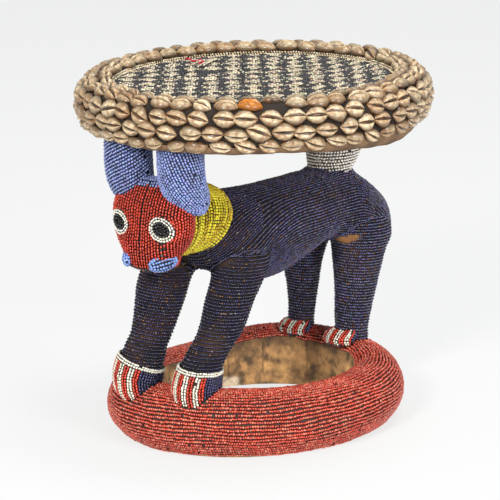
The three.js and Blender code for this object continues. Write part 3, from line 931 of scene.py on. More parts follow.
def makeBodyCloth(look):
    # closed tubes of every form, laid under the beads, each diving below the others where they lead
    parts = []
    for form in bodyForms:
        count, around = look["trunkGrid"] if form is trunk else look["limbGrid"]
        top = form["t"][-1] - (look["rootInset"] if form is tailRoot else look["inset"])
        levels = np.linspace(form["t"][0] + look["inset"], top, count)
        turn = fullTurn(around)
        grid = surfaceAt(form, levels[:, None], turn[None, :])
        flat = grid.reshape(-1, 3)
        others = [other for other in bodyForms if other is not form]
        lead = distanceTo(form, flat) - blendedDistance(others, flat, 0.0)
        depth = look["depth"] - np.clip(lead, 0, look["dive"])
        flat = np.where((lead < look["reach"])[:, None], settle(bodyField, flat, depth), flat)
        parts.append(closedTube(flat.reshape(grid.shape)))
    points, faces = joined(parts)
    colours = np.tile(look["dark"], (len(points), 1))
    colours[patchShare(points) < patchShape["edge"]] = patchShape["bare"]
    makePiece("bodyCloth", points, faces, finishes["navyCloth"], ["beaded_body"], "navy_beads",
              colours=colours)


makeBodyCloth(bodyClothLook)
print("body ready")


# single forms: a cloth tube with beads over it

formLook = {"slack": 1.22, "missing": 0.004, "depth": 2.1, "levels": 70, "around": 72}


def clothTube(name, form, start, end, finish, nodes, slotName, depth=formLook["depth"]):
    # the form from start to end, moved in by its depth and closed at both ends
    turn = fullTurn(formLook["around"])
    t = np.linspace(start, end, formLook["levels"])
    grid = surfaceAt(form, t[:, None], turn[None, :])
    flat = settle(fieldOf(form), grid.reshape(-1, 3), -depth, 3)
    makePiece(name, *closedTube(flat.reshape(grid.shape)), finish, nodes, slotName)


def formBeads(form, rows, inside, labels, look, colourOf, hiders):
    # rows settled on one form and thinned; colourOf gives their beads' colours and which of them are there
    field = fieldOf(form)
    laid = settle(field, rows.reshape(-1, 3), look["height"], 3).reshape(rows.shape)
    laid, inside, labels = thinned(laid, inside, labels, look["spacing"], formLook["slack"])
    middles, directions, rowOf = placeBeads(laid, inside, labels, look["pitch"])
    keep = clearOf(hiders, middles)
    middles = middles[keep]
    directions = directions[keep]
    normals = normalsOf(field, middles)
    colours, keep = colourOf(middles, rowOf[keep])
    return [middles[keep], directions[keep], normals[keep], look["length"], look["radius"], colours[keep]]


def always(colour, spread=0.12, hue=0.04):
    # one colour for every bead, with a bead missing here and there
    def paint(middles, rowOf):
        return tinted(colour, len(middles), spread, hue), rng.random(len(middles)) > formLook["missing"]
    return paint


def makeTail(look):
    # tilted rings of beads, left out where the tail sinks into the body
    rows = ringRows(tail, *look["rows"], look["spacing"], look["tilt"], look["tiltTurn"])
    # painted light: the ivory beads are brighter than white
    part = formBeads(tail, *rows, look, always(look["ivory"], look["spread"]), ["seat"])
    keep = blendedDistance([tailRoot, trunk], part[0], look["rootSoftness"]) > look["intoBody"]
    part = [value[keep] if isinstance(value, np.ndarray) else value for value in part]
    beadPiece("tailBeads", [part], "ivory_beads")
    clothTube("tailCloth", tail, *look["cloth"], finishes["darkCloth"], ["beaded_tail"], "ivory_beads")


makeTail(tailLook)

earLook = {"spacing": 3.4, "pitch": 3.0, "height": -1.3, "length": 2.35, "radius": 1.3,
           "blue": (0.2, 0.25, 0.5), "spread": (0.14, 0.05), "cloth": (232.5, 307.0),
           "leftRows": (241.0, 309.0), "leftFirst": -0.95, "slant": 0.42, "slantLevel": 270.0,
           "tipRows": (232.8, 240.2), "tipCloser": 0.6,
           "rightRows": (180.0, 360.0), "rightSpacing": 3.5, "rightRise": 73.5}


def earRows(key, form, look):
    # rows wind up round the right ear; on the left they run down it aslant, with rings round its tip
    if key == "right":
        return [ringRows(form, *look["rightRows"], look["rightSpacing"], rise=look["rightRise"])]
    slanting = lambda t, offsets: look["slant"] * (look["slantLevel"] - t) + 0 * offsets
    return [lengthwiseRows(form, *look["leftRows"], look["spacing"], look["leftFirst"], slanting),
            ringRows(form, *look["tipRows"], look["tipCloser"] * look["spacing"])]


def makeEar(key, form, look):
    # beads in their rows down to the seat's edge, over a cloth tube
    parts = [formBeads(form, *rows, look, always(look["blue"], *look["spread"]), ["seat"])
             for rows in earRows(key, form, look)]
    beadPiece(key + "EarBeads", parts, "blue_beads")
    clothTube(key + "EarCloth", form, *look["cloth"], finishes["earCloth"], ["beaded_" + key + "_ear"],
              "blue_beads")


for key, form in ears.items():
    makeEar(key, form, earLook)

collarLook = {"spacing": 3.3, "pitch": 3.0, "inset": 1.25, "length": 2.35, "radius": 1.36, "slack": 1.3,
              # the yellow is raised above full strength as painted light, brightening the collar where it
              # lies in shade
              "yellow": (1.7, 1.18, 0.035), "spread": (0.14, 0.05), "around": 160, "samples": 60,
              "margins": (1.2, 0.6), "clothInset": 2.2, "clothShares": (0.02, 0.99, 40)}


def collarGrid(shares, turn, inset):
    # the collar's surface moved in along its normals, which come from its two sets of grid lines
    points = collarPoint(shares[:, None], turn[None, :])
    across = np.gradient(points, axis=1)
    along = np.gradient(points, axis=0)
    normal = unit(np.cross(across, along))
    outward = points - points.mean(axis=1, keepdims=True)
    normal *= np.sign((normal * outward).sum(axis=2, keepdims=True))
    return points - normal * inset


def makeCollar(look):
    # arc length down the collar's side sets the rows
    turn = np.linspace(0, 2 * np.pi, look["around"] + 1)
    shares = np.linspace(0, 1, look["samples"])
    side = collarPoint(shares, np.full(look["samples"], np.pi / 2))
    arc = lengthAlong(side)
    before, after = look["margins"]
    places = np.arange(before, arc[-1] - after, look["spacing"] / rowShape["finer"])
    rows = collarGrid(np.interp(places, arc, shares), turn, look["inset"])
    every = np.ones(rows.shape[:2], bool)
    rows, inside, labels = thinned(rows, every, np.arange(len(rows)), look["spacing"], look["slack"])
    middles, directions, _ = placeBeads(rows, inside, labels, look["pitch"])
    keep = clearOf(["head", *earNames], middles)
    middles = middles[keep]
    outward = normalsOf(collarDistance, middles)
    # painted light: the yellow beads are brighter than full yellow
    colours = tinted(look["yellow"], len(middles), *look["spread"])
    beadPiece("collarBeads", [(middles, directions[keep], outward, look["length"], look["radius"], colours)],
              "yellow_beads")
    points, faces = closedTube(collarGrid(np.linspace(*look["clothShares"]), turn[:-1], look["clothInset"]))
    makePiece("collarCloth", points, faces, finishes["darkCloth"], ["beaded_collar"],
              "yellow_beads")


makeCollar(collarLook)
print("tail, ears and collar ready")


# the face

faceLook = {
    "spacing": 3.5, "pitch": 2.95, "height": -1.3, "length": 2.35, "radius": 1.34,
    "rows": (177.0, 263.0), "cloth": (176.5, 263.5), "clothDepth": 2.4, "missing": 0.003,
    "red": (0.43, 0.034, 0.015), "spread": (0.14, 0.04),
    "brow": {"level": 258.5, "drop": 0.0016, "middle": 8.0},
    "bands": [(182.0, (0.02, 0.016, 0.016)), (178.6, (0.5, 0.2, 0.17))],  # below this level, in this colour
    "hole": {"middle": (25.0, 202.0), "half": (5.0, 6.5), "ragged": (0.5, 1.6), "share": 0.7, "gone": 0.25,
             "colour": (0.06, 0.045, 0.04), "spread": 0.4},
    "crownRows": (-136.5, -133.2, -129.9, -126.6, -123.3), "crownEnds": (-20, 17, 40), "crownLevel": 263.2,
}
eyeShape = {"x": 28.0, "shift": -3.6, "z": 221.5, "halfWide": 15.2, "halfHigh": 11.4, "tilt": -20.0,
            "rowPush": 6.0, "pushFrom": 2.5, "pushEase": 18.0, "front": -135.0, "edge": 0.98}


def headFace(x, z):
    # front point of the head at an x from the animal's middle and a height, by the head's superellipse
    midX, midY, halfX, halfY = sectionAt(head, z)
    x = x + placing["animalX"]
    share = np.clip(np.abs((x - midX) / halfX), 0, 0.999)
    return np.stack([x, midY - halfY * (1 - share ** 3) ** (1 / 3), z], axis=-1)


def eyeOutline(side, turn, wide, high):
    # a leaning oval on the face round one eye's middle
    x, z = spun(wide * np.cos(turn), high * np.sin(turn), np.radians(eyeShape["tilt"]))
    return headFace(side * eyeShape["x"] + eyeShape["shift"] + x, eyeShape["z"] + z)


def eyeShare(p):
    # 1 on the edge of the nearer eye, in its own width and height, and far outside behind the face
    x = p[:, 0] - placing["animalX"] - eyeShape["shift"]
    x = x - np.sign(x) * eyeShape["x"]
    x, z = spun(x, p[:, 2] - eyeShape["z"], -np.radians(eyeShape["tilt"]))
    share = np.hypot(x / eyeShape["halfWide"], z / eyeShape["halfHigh"])
    return np.where(p[:, 1] < eyeShape["front"], share, 9.0)


def roundEyes(z, offsets):
    # rows part round each eye as water does round a post, and close again over and under it
    away = np.abs(offsets) - (eyeShape["x"] + eyeShape["pushFrom"])
    level = np.clip(1 - ((z - eyeShape["z"]) / eyeShape["halfHigh"]) ** 2, 0, 1)
    reach = np.sqrt(away ** 2 + 4 * eyeShape["rowPush"] ** 2 * level)
    parted = np.where(away < 0, -1, 1) * (np.abs(away) + reach) / 2
    return np.sign(offsets) * (parted - away) * eased(np.abs(offsets) / eyeShape["pushEase"])


def faceColours(middles, rowOf):
    # red, with a blue brow, a dark chin over a pink edge, and a worn hole with dark and missing beads
    x = middles[:, 0] - placing["animalX"]
    z = middles[:, 2]
    colours = tinted(faceLook["red"], len(middles), *faceLook["spread"])
    brow = faceLook["brow"]
    isBrow = z > brow["level"] - brow["drop"] * (x - brow["middle"]) ** 2
    repaint(colours, isBrow, earLook["blue"])
    for level, colour in faceLook["bands"]:
        repaint(colours, z < level, colour)
    keep = eyeShare(middles) > eyeShape["edge"]
    hole = faceLook["hole"]
    away = np.hypot((x - hole["middle"][0]) / hole["half"][0], (z - hole["middle"][1]) / hole["half"][1])
    isHole = away < rng.uniform(*hole["ragged"], len(middles))
    isHole &= rng.random(len(middles)) < hole["share"]
    repaint(colours, isHole, hole["colour"], hole["spread"])
    keep &= ~(isHole & (rng.random(len(middles)) > 1 - hole["gone"]))
    keep &= rng.random(len(middles)) > faceLook["missing"]
    return colours, keep


def makeFace(look):
    # rows down the head, and a few level ones over its flat top between the ears
    rows = lengthwiseRows(head, *look["rows"], look["spacing"], -np.pi / 2, roundEyes)
    facePart = formBeads(head, *rows, look, faceColours, [*earNames, "collar"])
    x, y = np.meshgrid(np.linspace(*look["crownEnds"]) + placing["animalX"], look["crownRows"])
    crown = np.stack([x, y, np.full(x.shape, look["crownLevel"])], axis=-1)
    middles, directions, _ = placeAll(crown, look["pitch"])
    up = np.tile([0.0, 0.0, 1.0], (len(middles), 1))
    colours = tinted(earLook["blue"], len(middles))
    crownPart = [middles, directions, up, look["length"], look["radius"], colours]
    beadPiece("faceBeads", [facePart, crownPart], "red_beads")
    clothTube("faceCloth", head, *look["cloth"], finishes["darkCloth"], ["beaded_face"], "red_beads",
              look["clothDepth"])


makeFace(faceLook)

eyeLook = {"pitch": 3.0, "ringStep": 2.8, "height": -1.0, "length": 2.2, "radius": 1.2, "rings": 4,
           "ivoryRings": 2, "inset": 1.3, "flatter": 0.86, "blackRaised": 0.5, "samples": 60,
           "ivory": (0.8, 0.74, 0.6), "black": (0.012, 0.012, 0.014), "spread": 0.08,
           "clothShares": (0.05, 0.35, 0.7, 0.97), "clothAround": 40, "clothHeights": (-1.9, -3.2)}


def makeEye(key, side, look):
    # rings of beads inside one another, two ivory ones round a black middle, on a thin round pad
    parts = []
    field = fieldOf(head)
    turn = np.linspace(0, 2 * np.pi, look["samples"])
    for ring in range(look["rings"]):
        isIvory = ring < look["ivoryRings"]
        wide = eyeShape["halfWide"] - look["inset"] - ring * look["ringStep"]
        high = eyeShape["halfHigh"] - look["inset"] - ring * look["ringStep"] * look["flatter"]
        height = look["height"] + (0 if isIvory else look["blackRaised"])
        line = settle(field, eyeOutline(side, turn, wide, high), height, 3)
        middles, directions, _ = placeAll(line[None], look["pitch"])
        normals = normalsOf(field, middles)
        colours = tinted(look["ivory"] if isIvory else look["black"], len(middles), look["spread"])
        parts.append((middles, directions, normals, look["length"], look["radius"], colours))
    beadPiece(key + "EyeBeads", parts, "dark_beads")
    turn = fullTurn(look["clothAround"])
    shares = np.array(look["clothShares"])[:, None]
    disc = eyeOutline(side, turn[None, :], eyeShape["halfWide"] * shares, eyeShape["halfHigh"] * shares)
    front, behind = (settle(field, disc.reshape(-1, 3), height, 3).reshape(disc.shape)
                     for height in look["clothHeights"])
    points, faces = closedTube(np.concatenate([front, behind[::-1]]))
    makePiece(key + "EyeCloth", points, faces, finishes["darkCloth"],
              ["beaded_" + key + "_eye"], "dark_beads")


for key, side in (("left", 1), ("right", -1)):
    makeEye(key, side, eyeLook)

lipLook = {"middle": (22.3, -148.2, 188.0), "half": (6.4, 14.8, 8.4), "turn": 33.0, "lift": 12.0,
           "pitch": 2.7, "radius": 1.25, "length": 2.05, "pale": (0.18, 0.28, 0.6),
           "rows": 12, "samples": 60, "rowReach": 1.35, "rowInset": 1.2, "intoHead": -0.5,
           "clothReach": 1.5, "clothInset": 1.9, "clothGrid": (24, 32)}


def lipPoint(side, t, turn, inset):
    # an egg along y, lifted at its front, turned outwards and set at the muzzle's corner
    half = np.array(lipLook["half"]) - inset
    ring = np.sqrt(np.clip(1 - t ** 2, 0, 1))
    x, y, z = np.broadcast_arrays(half[0] * ring * np.cos(turn), half[1] * t, half[2] * ring * np.sin(turn))
    y, z = spun(y, z, np.radians(lipLook["lift"]))
    x, y = spun(x, y, np.radians(-side * lipLook["turn"]))
    middle = lipLook["middle"]
    return np.stack([x + placing["animalX"] + side * middle[0], y + middle[1], z + middle[2]], axis=-1)


def makeLip(key, side, look):
    # rows along the egg from tip to tip, left out where it sinks into the head
    t = np.sin(np.linspace(-look["rowReach"], look["rowReach"], look["samples"]))
    turns = fullTurn(look["rows"])
    rows = np.stack([lipPoint(side, t, np.full(len(t), turn), look["rowInset"]) for turn in turns])
    middles, directions, _ = placeAll(rows, look["pitch"])
    keep = distanceTo(head, middles) > look["intoHead"]
    middles = middles[keep]
    directions = directions[keep]
    outward = middles - lipPoint(side, np.zeros(1), np.zeros(1), np.array(look["half"]))[0]
    outward -= directions * (outward * directions).sum(axis=1, keepdims=True)
    outward = unit(outward)
    colours = tinted(look["pale"], len(middles))
    beadPiece(key + "LipBeads", [(middles, directions, outward, look["length"], look["radius"], colours)],
              "pale_blue_beads")
    levels, around = look["clothGrid"]
    t = np.sin(np.linspace(-look["clothReach"], look["clothReach"], levels))
    turn = fullTurn(around)
    points, faces = closedTube(lipPoint(side, t[:, None], turn[None, :], look["clothInset"]))
    makePiece(key + "LipCloth", points, faces, finishes["darkCloth"],
              ["beaded_" + key + "_lip"], "pale_blue_beads")


for key, side in (("left", 1), ("right", -1)):
    makeLip(key, side, lipLook)
print("face ready")


# paws

pawLook = {
    "spacing": 3.0, "pitch": 2.7, "height": -1.3, "length": 2.25, "radius": 1.3, "missing": 0.006,
    "red": (0.5, 0.04, 0.018), "redSpread": 0.12, "ivory": (0.72, 0.66, 0.53), "ivorySpread": 0.08,
    "navy": (0.03, 0.03, 0.08), "navySpread": 0.25, "darkToes": 4.0,
    "frontStripes": (-13, 3), "hindStripes": (-7, 6),  # first and last row of the stripes
    "frontEnds": (0.5, 4.0), "hindEnds": (0.5, 0.6), "clothEnds": 0.4,
    "turn": {"frontLeft": -0.95, "frontRight": -1.25, "hindLeft": -1.45, "hindRight": -1.5},
    "node": {"frontLeft": "beaded_front_left_paw", "frontRight": "beaded_front_right_paw",
             "hindLeft": "beaded_hind_left_paw", "hindRight": "beaded_hind_right_paw"},
}
pawBand = {"below": (2.8, 1.0), "height": -0.7, "ivory": (0.8, 0.74, 0.58), "spread": 0.1, "samples": 150}


def pawPaint(name):
    # stripes two rows wide, ivory and red in turn, navy at both sides and on the tips of the toes
    first, last = pawLook["frontStripes"] if name.startswith("front") else pawLook["hindStripes"]

    def paint(middles, rowOf):
        stripe = (rowOf // 2) % 2 == 0
        colours = tinted(pawLook["red"], len(middles), pawLook["redSpread"])
        repaint(colours, stripe, pawLook["ivory"], pawLook["ivorySpread"])
        inner = (rowOf > last) | (rowOf < first)
        inner |= middles[:, 2] < paws[name]["t"][0] + pawLook["darkToes"]
        repaint(colours, inner, pawLook["navy"], pawLook["navySpread"])
        return colours, rng.random(len(middles)) > pawLook["missing"]
    return paint


def bandBeads(form, high):
    # two ivory rings at the top of a front paw, numbered so that thinning takes neither out
    levels = high - np.array(pawBand["below"])
    rows = surfaceAt(form, levels[:, None], np.linspace(0, 2 * np.pi, pawBand["samples"])[None, :])
    number = rowShape["first"] + 2 ** rowShape["mostHalvings"] * np.arange(len(rows))
    look = {**pawLook, "height": pawBand["height"]}
    return formBeads(form, rows, np.ones(rows.shape[:2], bool), number, look,
                     always(pawBand["ivory"], pawBand["spread"]), [])


def makePaw(key, form, look):
    # striped rows down over the toes, and a band above them on the front paws
    low = form["t"][0]
    high = form["t"][-1]
    isFront = key.startswith("front")
    below, above = look["frontEnds"] if isFront else look["hindEnds"]
    rows = lengthwiseRows(form, low + below, high - above, look["spacing"], look["turn"][key])
    hiders = ["ring"] if isFront else ["ring", "leg" + key]
    parts = [formBeads(form, *rows, look, pawPaint(key), hiders)]
    if isFront:
        parts.append(bandBeads(form, high))
    beadPiece(key + "PawBeads", parts, "paw_beads")
    clothTube(key + "PawCloth", form, low + look["clothEnds"], high - look["clothEnds"],
              finishes["darkCloth"], [look["node"][key]], "paw_beads")


for key, form in paws.items():
    makePaw(key, form, pawLook)
print("paws ready")


# the ring foot

ringLook = {
    "spacing": 3.4, "pitch": 2.4, "inset": 1.4, "length": 2.0, "radius": 1.5, "missing": 0.01,
    "brick": (0.44, 0.052, 0.028), "brickSpread": (0.16, 0.05),
    "salmon": (0.54, 0.13, 0.08), "salmonSpread": 0.15, "salmonShare": 0.3,
    "start": [138.5, 1.3], "end": [99.5, 47], "samples": 400, "around": 720, "margins": (0.7, 1.0),
    "waves": [(0.9, 5, 0.015), (0.45, 13, 0.04)],  # height, turns, and what it shifts by from row to row
    "looseWaves": [(0.2, 31), (0.14, 67)], "anyPhase": 6.3,  # these start anywhere on each row
    "clothInset": 2.3, "clothThickness": 1.2, "clothEvery": 8, "clothAround": 240,
}


def turned(profile, sides, place):
    # a closed profile of radius and height carried once round
    turn = fullTurn(sides)
    line = np.asarray(profile, float)
    points = place(line[None, :, 0], line[None, :, 1], turn[:, None]).reshape(-1, 3)
    return closedLoop(points, sides)


def ringWobble(rowsAt, turn, look):
    # how far each row strays along the profile: the sum of slow waves and of quick ones
    rowsAt = rowsAt[:, None]
    waves = [height * np.sin(turns * turn + rowsAt * shift) for height, turns, shift in look["waves"]]
    for height, turns in look["looseWaves"]:
        waves.append(height * np.sin(turns * turn + rng.uniform(0, look["anyPhase"], rowsAt.shape)))
    return sum(waves)


def makeRing(look):
    # rows round the ring at equal steps of its profile, and a thin shell of cloth under them
    line, length = profileLine([look["start"], *ringShape["beads"][1:], look["end"]], look["samples"])
    normal = profileNormals(line)
    first, last = look["margins"]
    steps = np.arange(first, length - last, look["spacing"])
    rowsAt = (steps / length * (look["samples"] - 1)).astype(int)
    turn = np.linspace(0, 2 * np.pi, look["around"] + 1)[None, :]
    wobble = ringWobble(rowsAt, turn, look)
    place = line[rowsAt] - normal[rowsAt] * look["inset"]
    step = unit(np.gradient(line, axis=0)[rowsAt])
    rows = ringPoint(place[:, :1] + step[:, :1] * wobble, place[:, 1:] + step[:, 1:] * wobble, turn)
    middles, directions, rowOf = placeAll(rows, look["pitch"])
    flat = normal[rowsAt][rowOf]
    turnAt = np.arctan2(middles[:, 1] / ringShape["long"], middles[:, 0] / ringShape["wide"])
    outward = unit(np.stack([flat[:, 0] * np.cos(turnAt) / ringShape["wide"],
                             flat[:, 0] * np.sin(turnAt) / ringShape["long"], flat[:, 1]], axis=1))
    keep = clearOf([*pawNames, "leghindLeft", "leghindRight"], middles)
    keep &= rng.random(len(middles)) > look["missing"]
    colours = tinted(look["brick"], len(middles), *look["brickSpread"])
    pale = rng.random(len(middles)) < look["salmonShare"]
    repaint(colours, pale, look["salmon"], look["salmonSpread"])
    beadPiece("ringBeads", [(middles[keep], directions[keep], outward[keep], look["length"], look["radius"],
                             colours[keep])], "brick_beads")
    away = normal[::look["clothEvery"]]
    base = line[::look["clothEvery"]] - away * look["clothInset"]
    under = base - away * look["clothThickness"]
    points, faces = turned(np.vstack([base, under[::-1]]), look["clothAround"], ringPoint)
    makePiece("ringCloth", points, faces, finishes["ringCloth"], ["beaded_ring"], "brick_beads")


makeRing(ringLook)
print("ring ready")


# the seat: carved wood, sunken beadwork, edge cloth and shells

def roundPoint(radius, z, turn):
    # a circle's point at a height, turned by the seat's slope
    return sloped(np.stack(np.broadcast_arrays(radius * np.cos(turn), radius * np.sin(turn), z), axis=-1))


woodLook = {
    "tan": (0.58, 0.315, 0.118), "dark": (0.15, 0.08, 0.035), "fresh": (0.8, 0.62, 0.42), "spread": 0.12,
    "sides": 420, "wallRadius": 101.5, "wallLevels": (4.5, 46, 20),
    "underWall": [[107, 0.3], [103, 2.2]],
    "overWall": [[103, 50], [112, 53], [130, 47], [138, 30], [137, 10], [135, 0.3], [121, 0.2]],
    "roughness": 0.55, "grain": 0.35,
    "cracks": (104, 131, 152), "crackHalf": 0.7, "crackDeep": 2.2, "crackFrom": 6.0, "crackOver": 10.0,
    "chipTurn": 154.0, "chipHalf": 11.0, "chipTop": 14.0, "chipOver": 6.0, "chipDeep": 3.5, "chipMost": 0.7,
    "blotch": 0.75, "upper": 0.6, "upperFrom": 32.0, "upperOver": 14.0, "crackDark": 0.8, "pale": 0.15,
    "rimInset": 1.6, "seatSides": 180, "underShade": 1.6,
    "seatUnder": [[0.5, 306], [60, 306], [120, 306], [150, 306]],
    "seatTop": [[141, 340], [120, 340], [0.5, 340]],
}


def ringWood(look):
    # the ring's own wood: a turned section whose inner wall is hewn in waves, with cracks and one fresh chip
    wall = [[look["wallRadius"], level] for level in np.linspace(*look["wallLevels"])]
    section = np.array([*look["underWall"], *wall, *look["overWall"]])
    sides = look["sides"]
    turn = fullTurn(sides)[:, None]
    radius = np.broadcast_to(section[None, :, 0], (sides, len(section))).copy()
    z = np.broadcast_to(section[None, :, 1], radius.shape)
    hewn = (1.2 * np.sin(5 * turn + z * 0.03) + 0.9 * np.sin(13 * turn + 1.3 + z * 0.02)
            + 0.5 * np.sin(z * 0.3 + 6 * turn) + rng.normal(0, look["grain"], radius.shape))
    degrees = turn * 180 / np.pi
    fromCrack = np.abs(degrees - np.array(look["cracks"])).min(axis=1)[:, None]
    crack = np.clip(1 - fromCrack / look["crackHalf"], 0, 1)
    crack = crack * np.clip((z - look["crackFrom"]) / look["crackOver"], 0, 1)
    chip = np.clip(1 - np.abs(degrees - look["chipTurn"]) / look["chipHalf"], 0, 1)
    chip = chip * np.clip((look["chipTop"] - z) / look["chipOver"], 0, 1)
    deeper = look["roughness"] * hewn + look["crackDeep"] * crack
    deeper = deeper + look["chipDeep"] * np.minimum(chip, look["chipMost"])
    isWall = slice(1, len(look["underWall"]) + len(wall))
    radius[:, isWall] += deeper[:, isWall]
    points = ringPoint(radius, z, turn).reshape(-1, 3)
    blotch = (np.sin(7 * turn + z * 0.09) + np.sin(17 * turn - z * 0.13 + 2)
              + np.sin(29 * turn + z * 0.05 + 1)) / 6
    upper = np.clip((z - look["upperFrom"]) / look["upperOver"], 0, 1)
    shade = look["blotch"] * (blotch + 0.5) + look["upper"] * upper + look["crackDark"] * crack
    shade = np.clip(shade - look["pale"], 0, 1)[..., None]
    fresh = np.clip(chip * 4, 0, 1)[..., None]
    colour = np.array(look["tan"]) * (1 - shade) + np.array(look["dark"]) * shade
    colour = colour * (1 - fresh) + np.array(look["fresh"]) * fresh
    colour = colour * rng.normal(1, look["spread"], shade.shape)
    return closedLoop(points, sides), colour.reshape(-1, 3)


def makeWood(look):
    # the ring's wood and the seat disc, whose rim lies under the shells, joined in one piece
    ring, colours = ringWood(look)
    rim, _ = profileLine(seatShape["rim"], 24, 2)
    rim = rim - profileNormals(rim) * look["rimInset"]
    disc = turned(np.vstack([look["seatUnder"], rim, look["seatTop"]]), look["seatSides"], roundPoint)
    under = np.tile(np.array(look["dark"]) * look["underShade"], (len(disc[0]), 1))
    points, faces = joined([ring, disc])
    makePiece("carvedWood", points, faces, finishes["wood"], ["carved_wooden_stool"], "carved_wood",
              colours=np.concatenate([colours, under]).clip(0, 1))


makeWood(woodLook)

panelLook = {
    "spacing": 2.85, "pitch": 2.5, "length": 2.05, "radius": 1.16, "missing": 0.012, "inset": 3.6,
    "dark": (0.035, 0.035, 0.038), "darkSpread": 0.4, "swapped": 0.08,
    "ivory": (0.54, 0.47, 0.34), "ivorySpread": (0.22, 0.06),
    "worn": (0.3, 0.2, 0.12), "wornShare": 0.12, "wornSpread": 0.3,
    "column": 20.5, "diamond": 24.0, "narrow": 0.2, "swell": 0.8, "stray": 1.3,
    "turn": 41.0, "curve": 0.0045, "curveFrom": 15.0, "samples": 220, "sunk": 1.3,
    "torn": [(-45, 42, 14, 10), (-70, 40, 5, 9)], "tornGone": 0.25,
    "base": [[0.5, 340.4], [70, 340.4], [139.5, 340.4], [139.5, 341.4], [70, 341.4], [0.5, 341.4]],
    "baseSides": 120,
}
stringLook = {"ends": [[(-56, 60), (-40, 96)], [(-61, 72), (-49, 94)], [(-50, 66), (-36, 100)]],
              "samples": 40, "height": 1.6, "lift": 0.8, "pitch": 2.6, "length": 2.1, "radius": 1.2,
              "spread": 0.15}
edgeLook = {"rings": [(2.0, -0.9), (-0.2, 0.7)], "samples": 400, "pitch": 2.9, "length": 2.4, "radius": 1.2,
            "colour": (0.62, 0.5, 0.33), "spread": 0.18}


def panelPoint(u, v, height):
    # a point of the sunken floor from its place along and across the bead rows
    x, y = spun(u, v, np.radians(panelLook["turn"]))
    return sloped(np.stack([x, y, seatShape["floor"] + height], axis=-1))


def panelColours(middles, rowOffset, stray, look):
    # ivory or dark by the distance from the nearest column and diamond; gives colours and which beads stay
    along, away = spun(middles[:, 0], middles[:, 1], -np.radians(look["turn"]))
    fromColumn = np.abs(((along + stray) / look["column"]) % 1 * 2 - 1)
    fromDiamond = np.abs((rowOffset / look["diamond"]) % 1 * 2 - 1)
    light = fromColumn > look["narrow"] + look["swell"] * fromDiamond
    light ^= rng.random(len(middles)) < look["swapped"]
    colours = tinted(look["dark"], len(middles), look["darkSpread"])
    repaint(colours, light, look["ivory"], *look["ivorySpread"])
    worn = light & (rng.random(len(middles)) < look["wornShare"])
    repaint(colours, worn, look["worn"], look["wornSpread"])
    torn = np.zeros(len(middles), bool)
    for middleU, middleV, halfU, halfV in look["torn"]:
        torn |= np.hypot((along - middleU) / halfU, (away - middleV) / halfV) < 1
    colours[torn] = look["dark"]
    keep = ~(torn & (rng.random(len(middles)) > 1 - look["tornGone"]))
    keep &= rng.random(len(middles)) > look["missing"]
    return colours, keep


def looseStrings(up, look):
    # short strings of beads that have come loose at the tear and lie over the others
    share = np.linspace(0, 1, look["samples"])
    height = look["height"] + look["lift"] * np.sin(3 * share)
    rows = np.stack([panelPoint(startU + share * (endU - startU), startV + share * (endV - startV), height)
                     for (startU, startV), (endU, endV) in look["ends"]])
    middles, directions, _ = placeAll(rows, look["pitch"])
    return (middles, directions, np.tile(up, (len(middles), 1)), look["length"], look["radius"],
            tinted(panelLook["ivory"], len(middles), look["spread"]))


def panelEdge(up, look):
    # two rings of beads standing across the panel's edge
    turn = np.linspace(0, 2 * np.pi, look["samples"])
    rows = np.stack([roundPoint(np.full(len(turn), seatShape["panelRadius"] - inset),
                                np.full(len(turn), seatShape["floor"] + rise), turn)
                     for inset, rise in look["rings"]])
    middles, directions, _ = placeAll(rows, look["pitch"])
    up = np.tile(up, (len(middles), 1))
    return (middles, np.cross(directions, up), up, look["length"], look["radius"],
            tinted(look["colour"], len(middles), look["spread"]))


def makePanel(look):
    # rows run level in the photograph's view and curl at one end; dark diamonds stand in columns across them
    reach = seatShape["panelRadius"] - look["inset"]
    count = int(reach / look["spacing"])
    offsets = np.arange(-int(1.5 * count), count + 1) * look["spacing"]
    u = np.broadcast_to(np.linspace(-reach, reach, look["samples"]), (len(offsets), look["samples"]))
    v = offsets[:, None] + 0.5 * np.sin(u / 30 + offsets[:, None] * 0.1)
    v = v + look["curve"] * np.clip(u - look["curveFrom"], 0, None) ** 2
    rows = panelPoint(u, v, 0.7 * np.sin(u / 31) * np.cos(v / 27) - look["sunk"])
    middles, directions, rowOf = placeBeads(rows, np.hypot(u, v) < reach, range(len(rows)), look["pitch"])
    stray = rng.normal(0, look["stray"], len(offsets))[rowOf]
    colours, keep = panelColours(middles, offsets[rowOf], stray, look)
    up = sloped([[0, 0, 1.0]]) - sloped([[0, 0, 0.0]])
    parts = [(middles[keep], directions[keep], np.tile(up, (int(keep.sum()), 1)), look["length"],
              look["radius"], colours[keep])]
    parts.append(looseStrings(up, stringLook))
    parts.append(panelEdge(up, edgeLook))
    beadPiece("panelBeads", parts, "check_beads")
    points, faces = turned(look["base"], look["baseSides"], roundPoint)
    makePiece("panelCloth", points, faces, finishes["darkCloth"], ["beaded_seat_panel"], "check_beads")


makePanel(panelLook)

threadLook = {"radius": 0.85, "samples": 36, "sides": 8, "strands": [
    [(-69, 114, 0.4), (-65, 106, 2.0), (-60, 95, 1.2), (-57, 91, 2.4), (-54, 82, 1.6), (-52, 78, 0.4)],
    [(-56, 99, 0.6), (-53, 95, 2.8), (-51, 88, 2.2), (-52, 82, 0.6)]]}


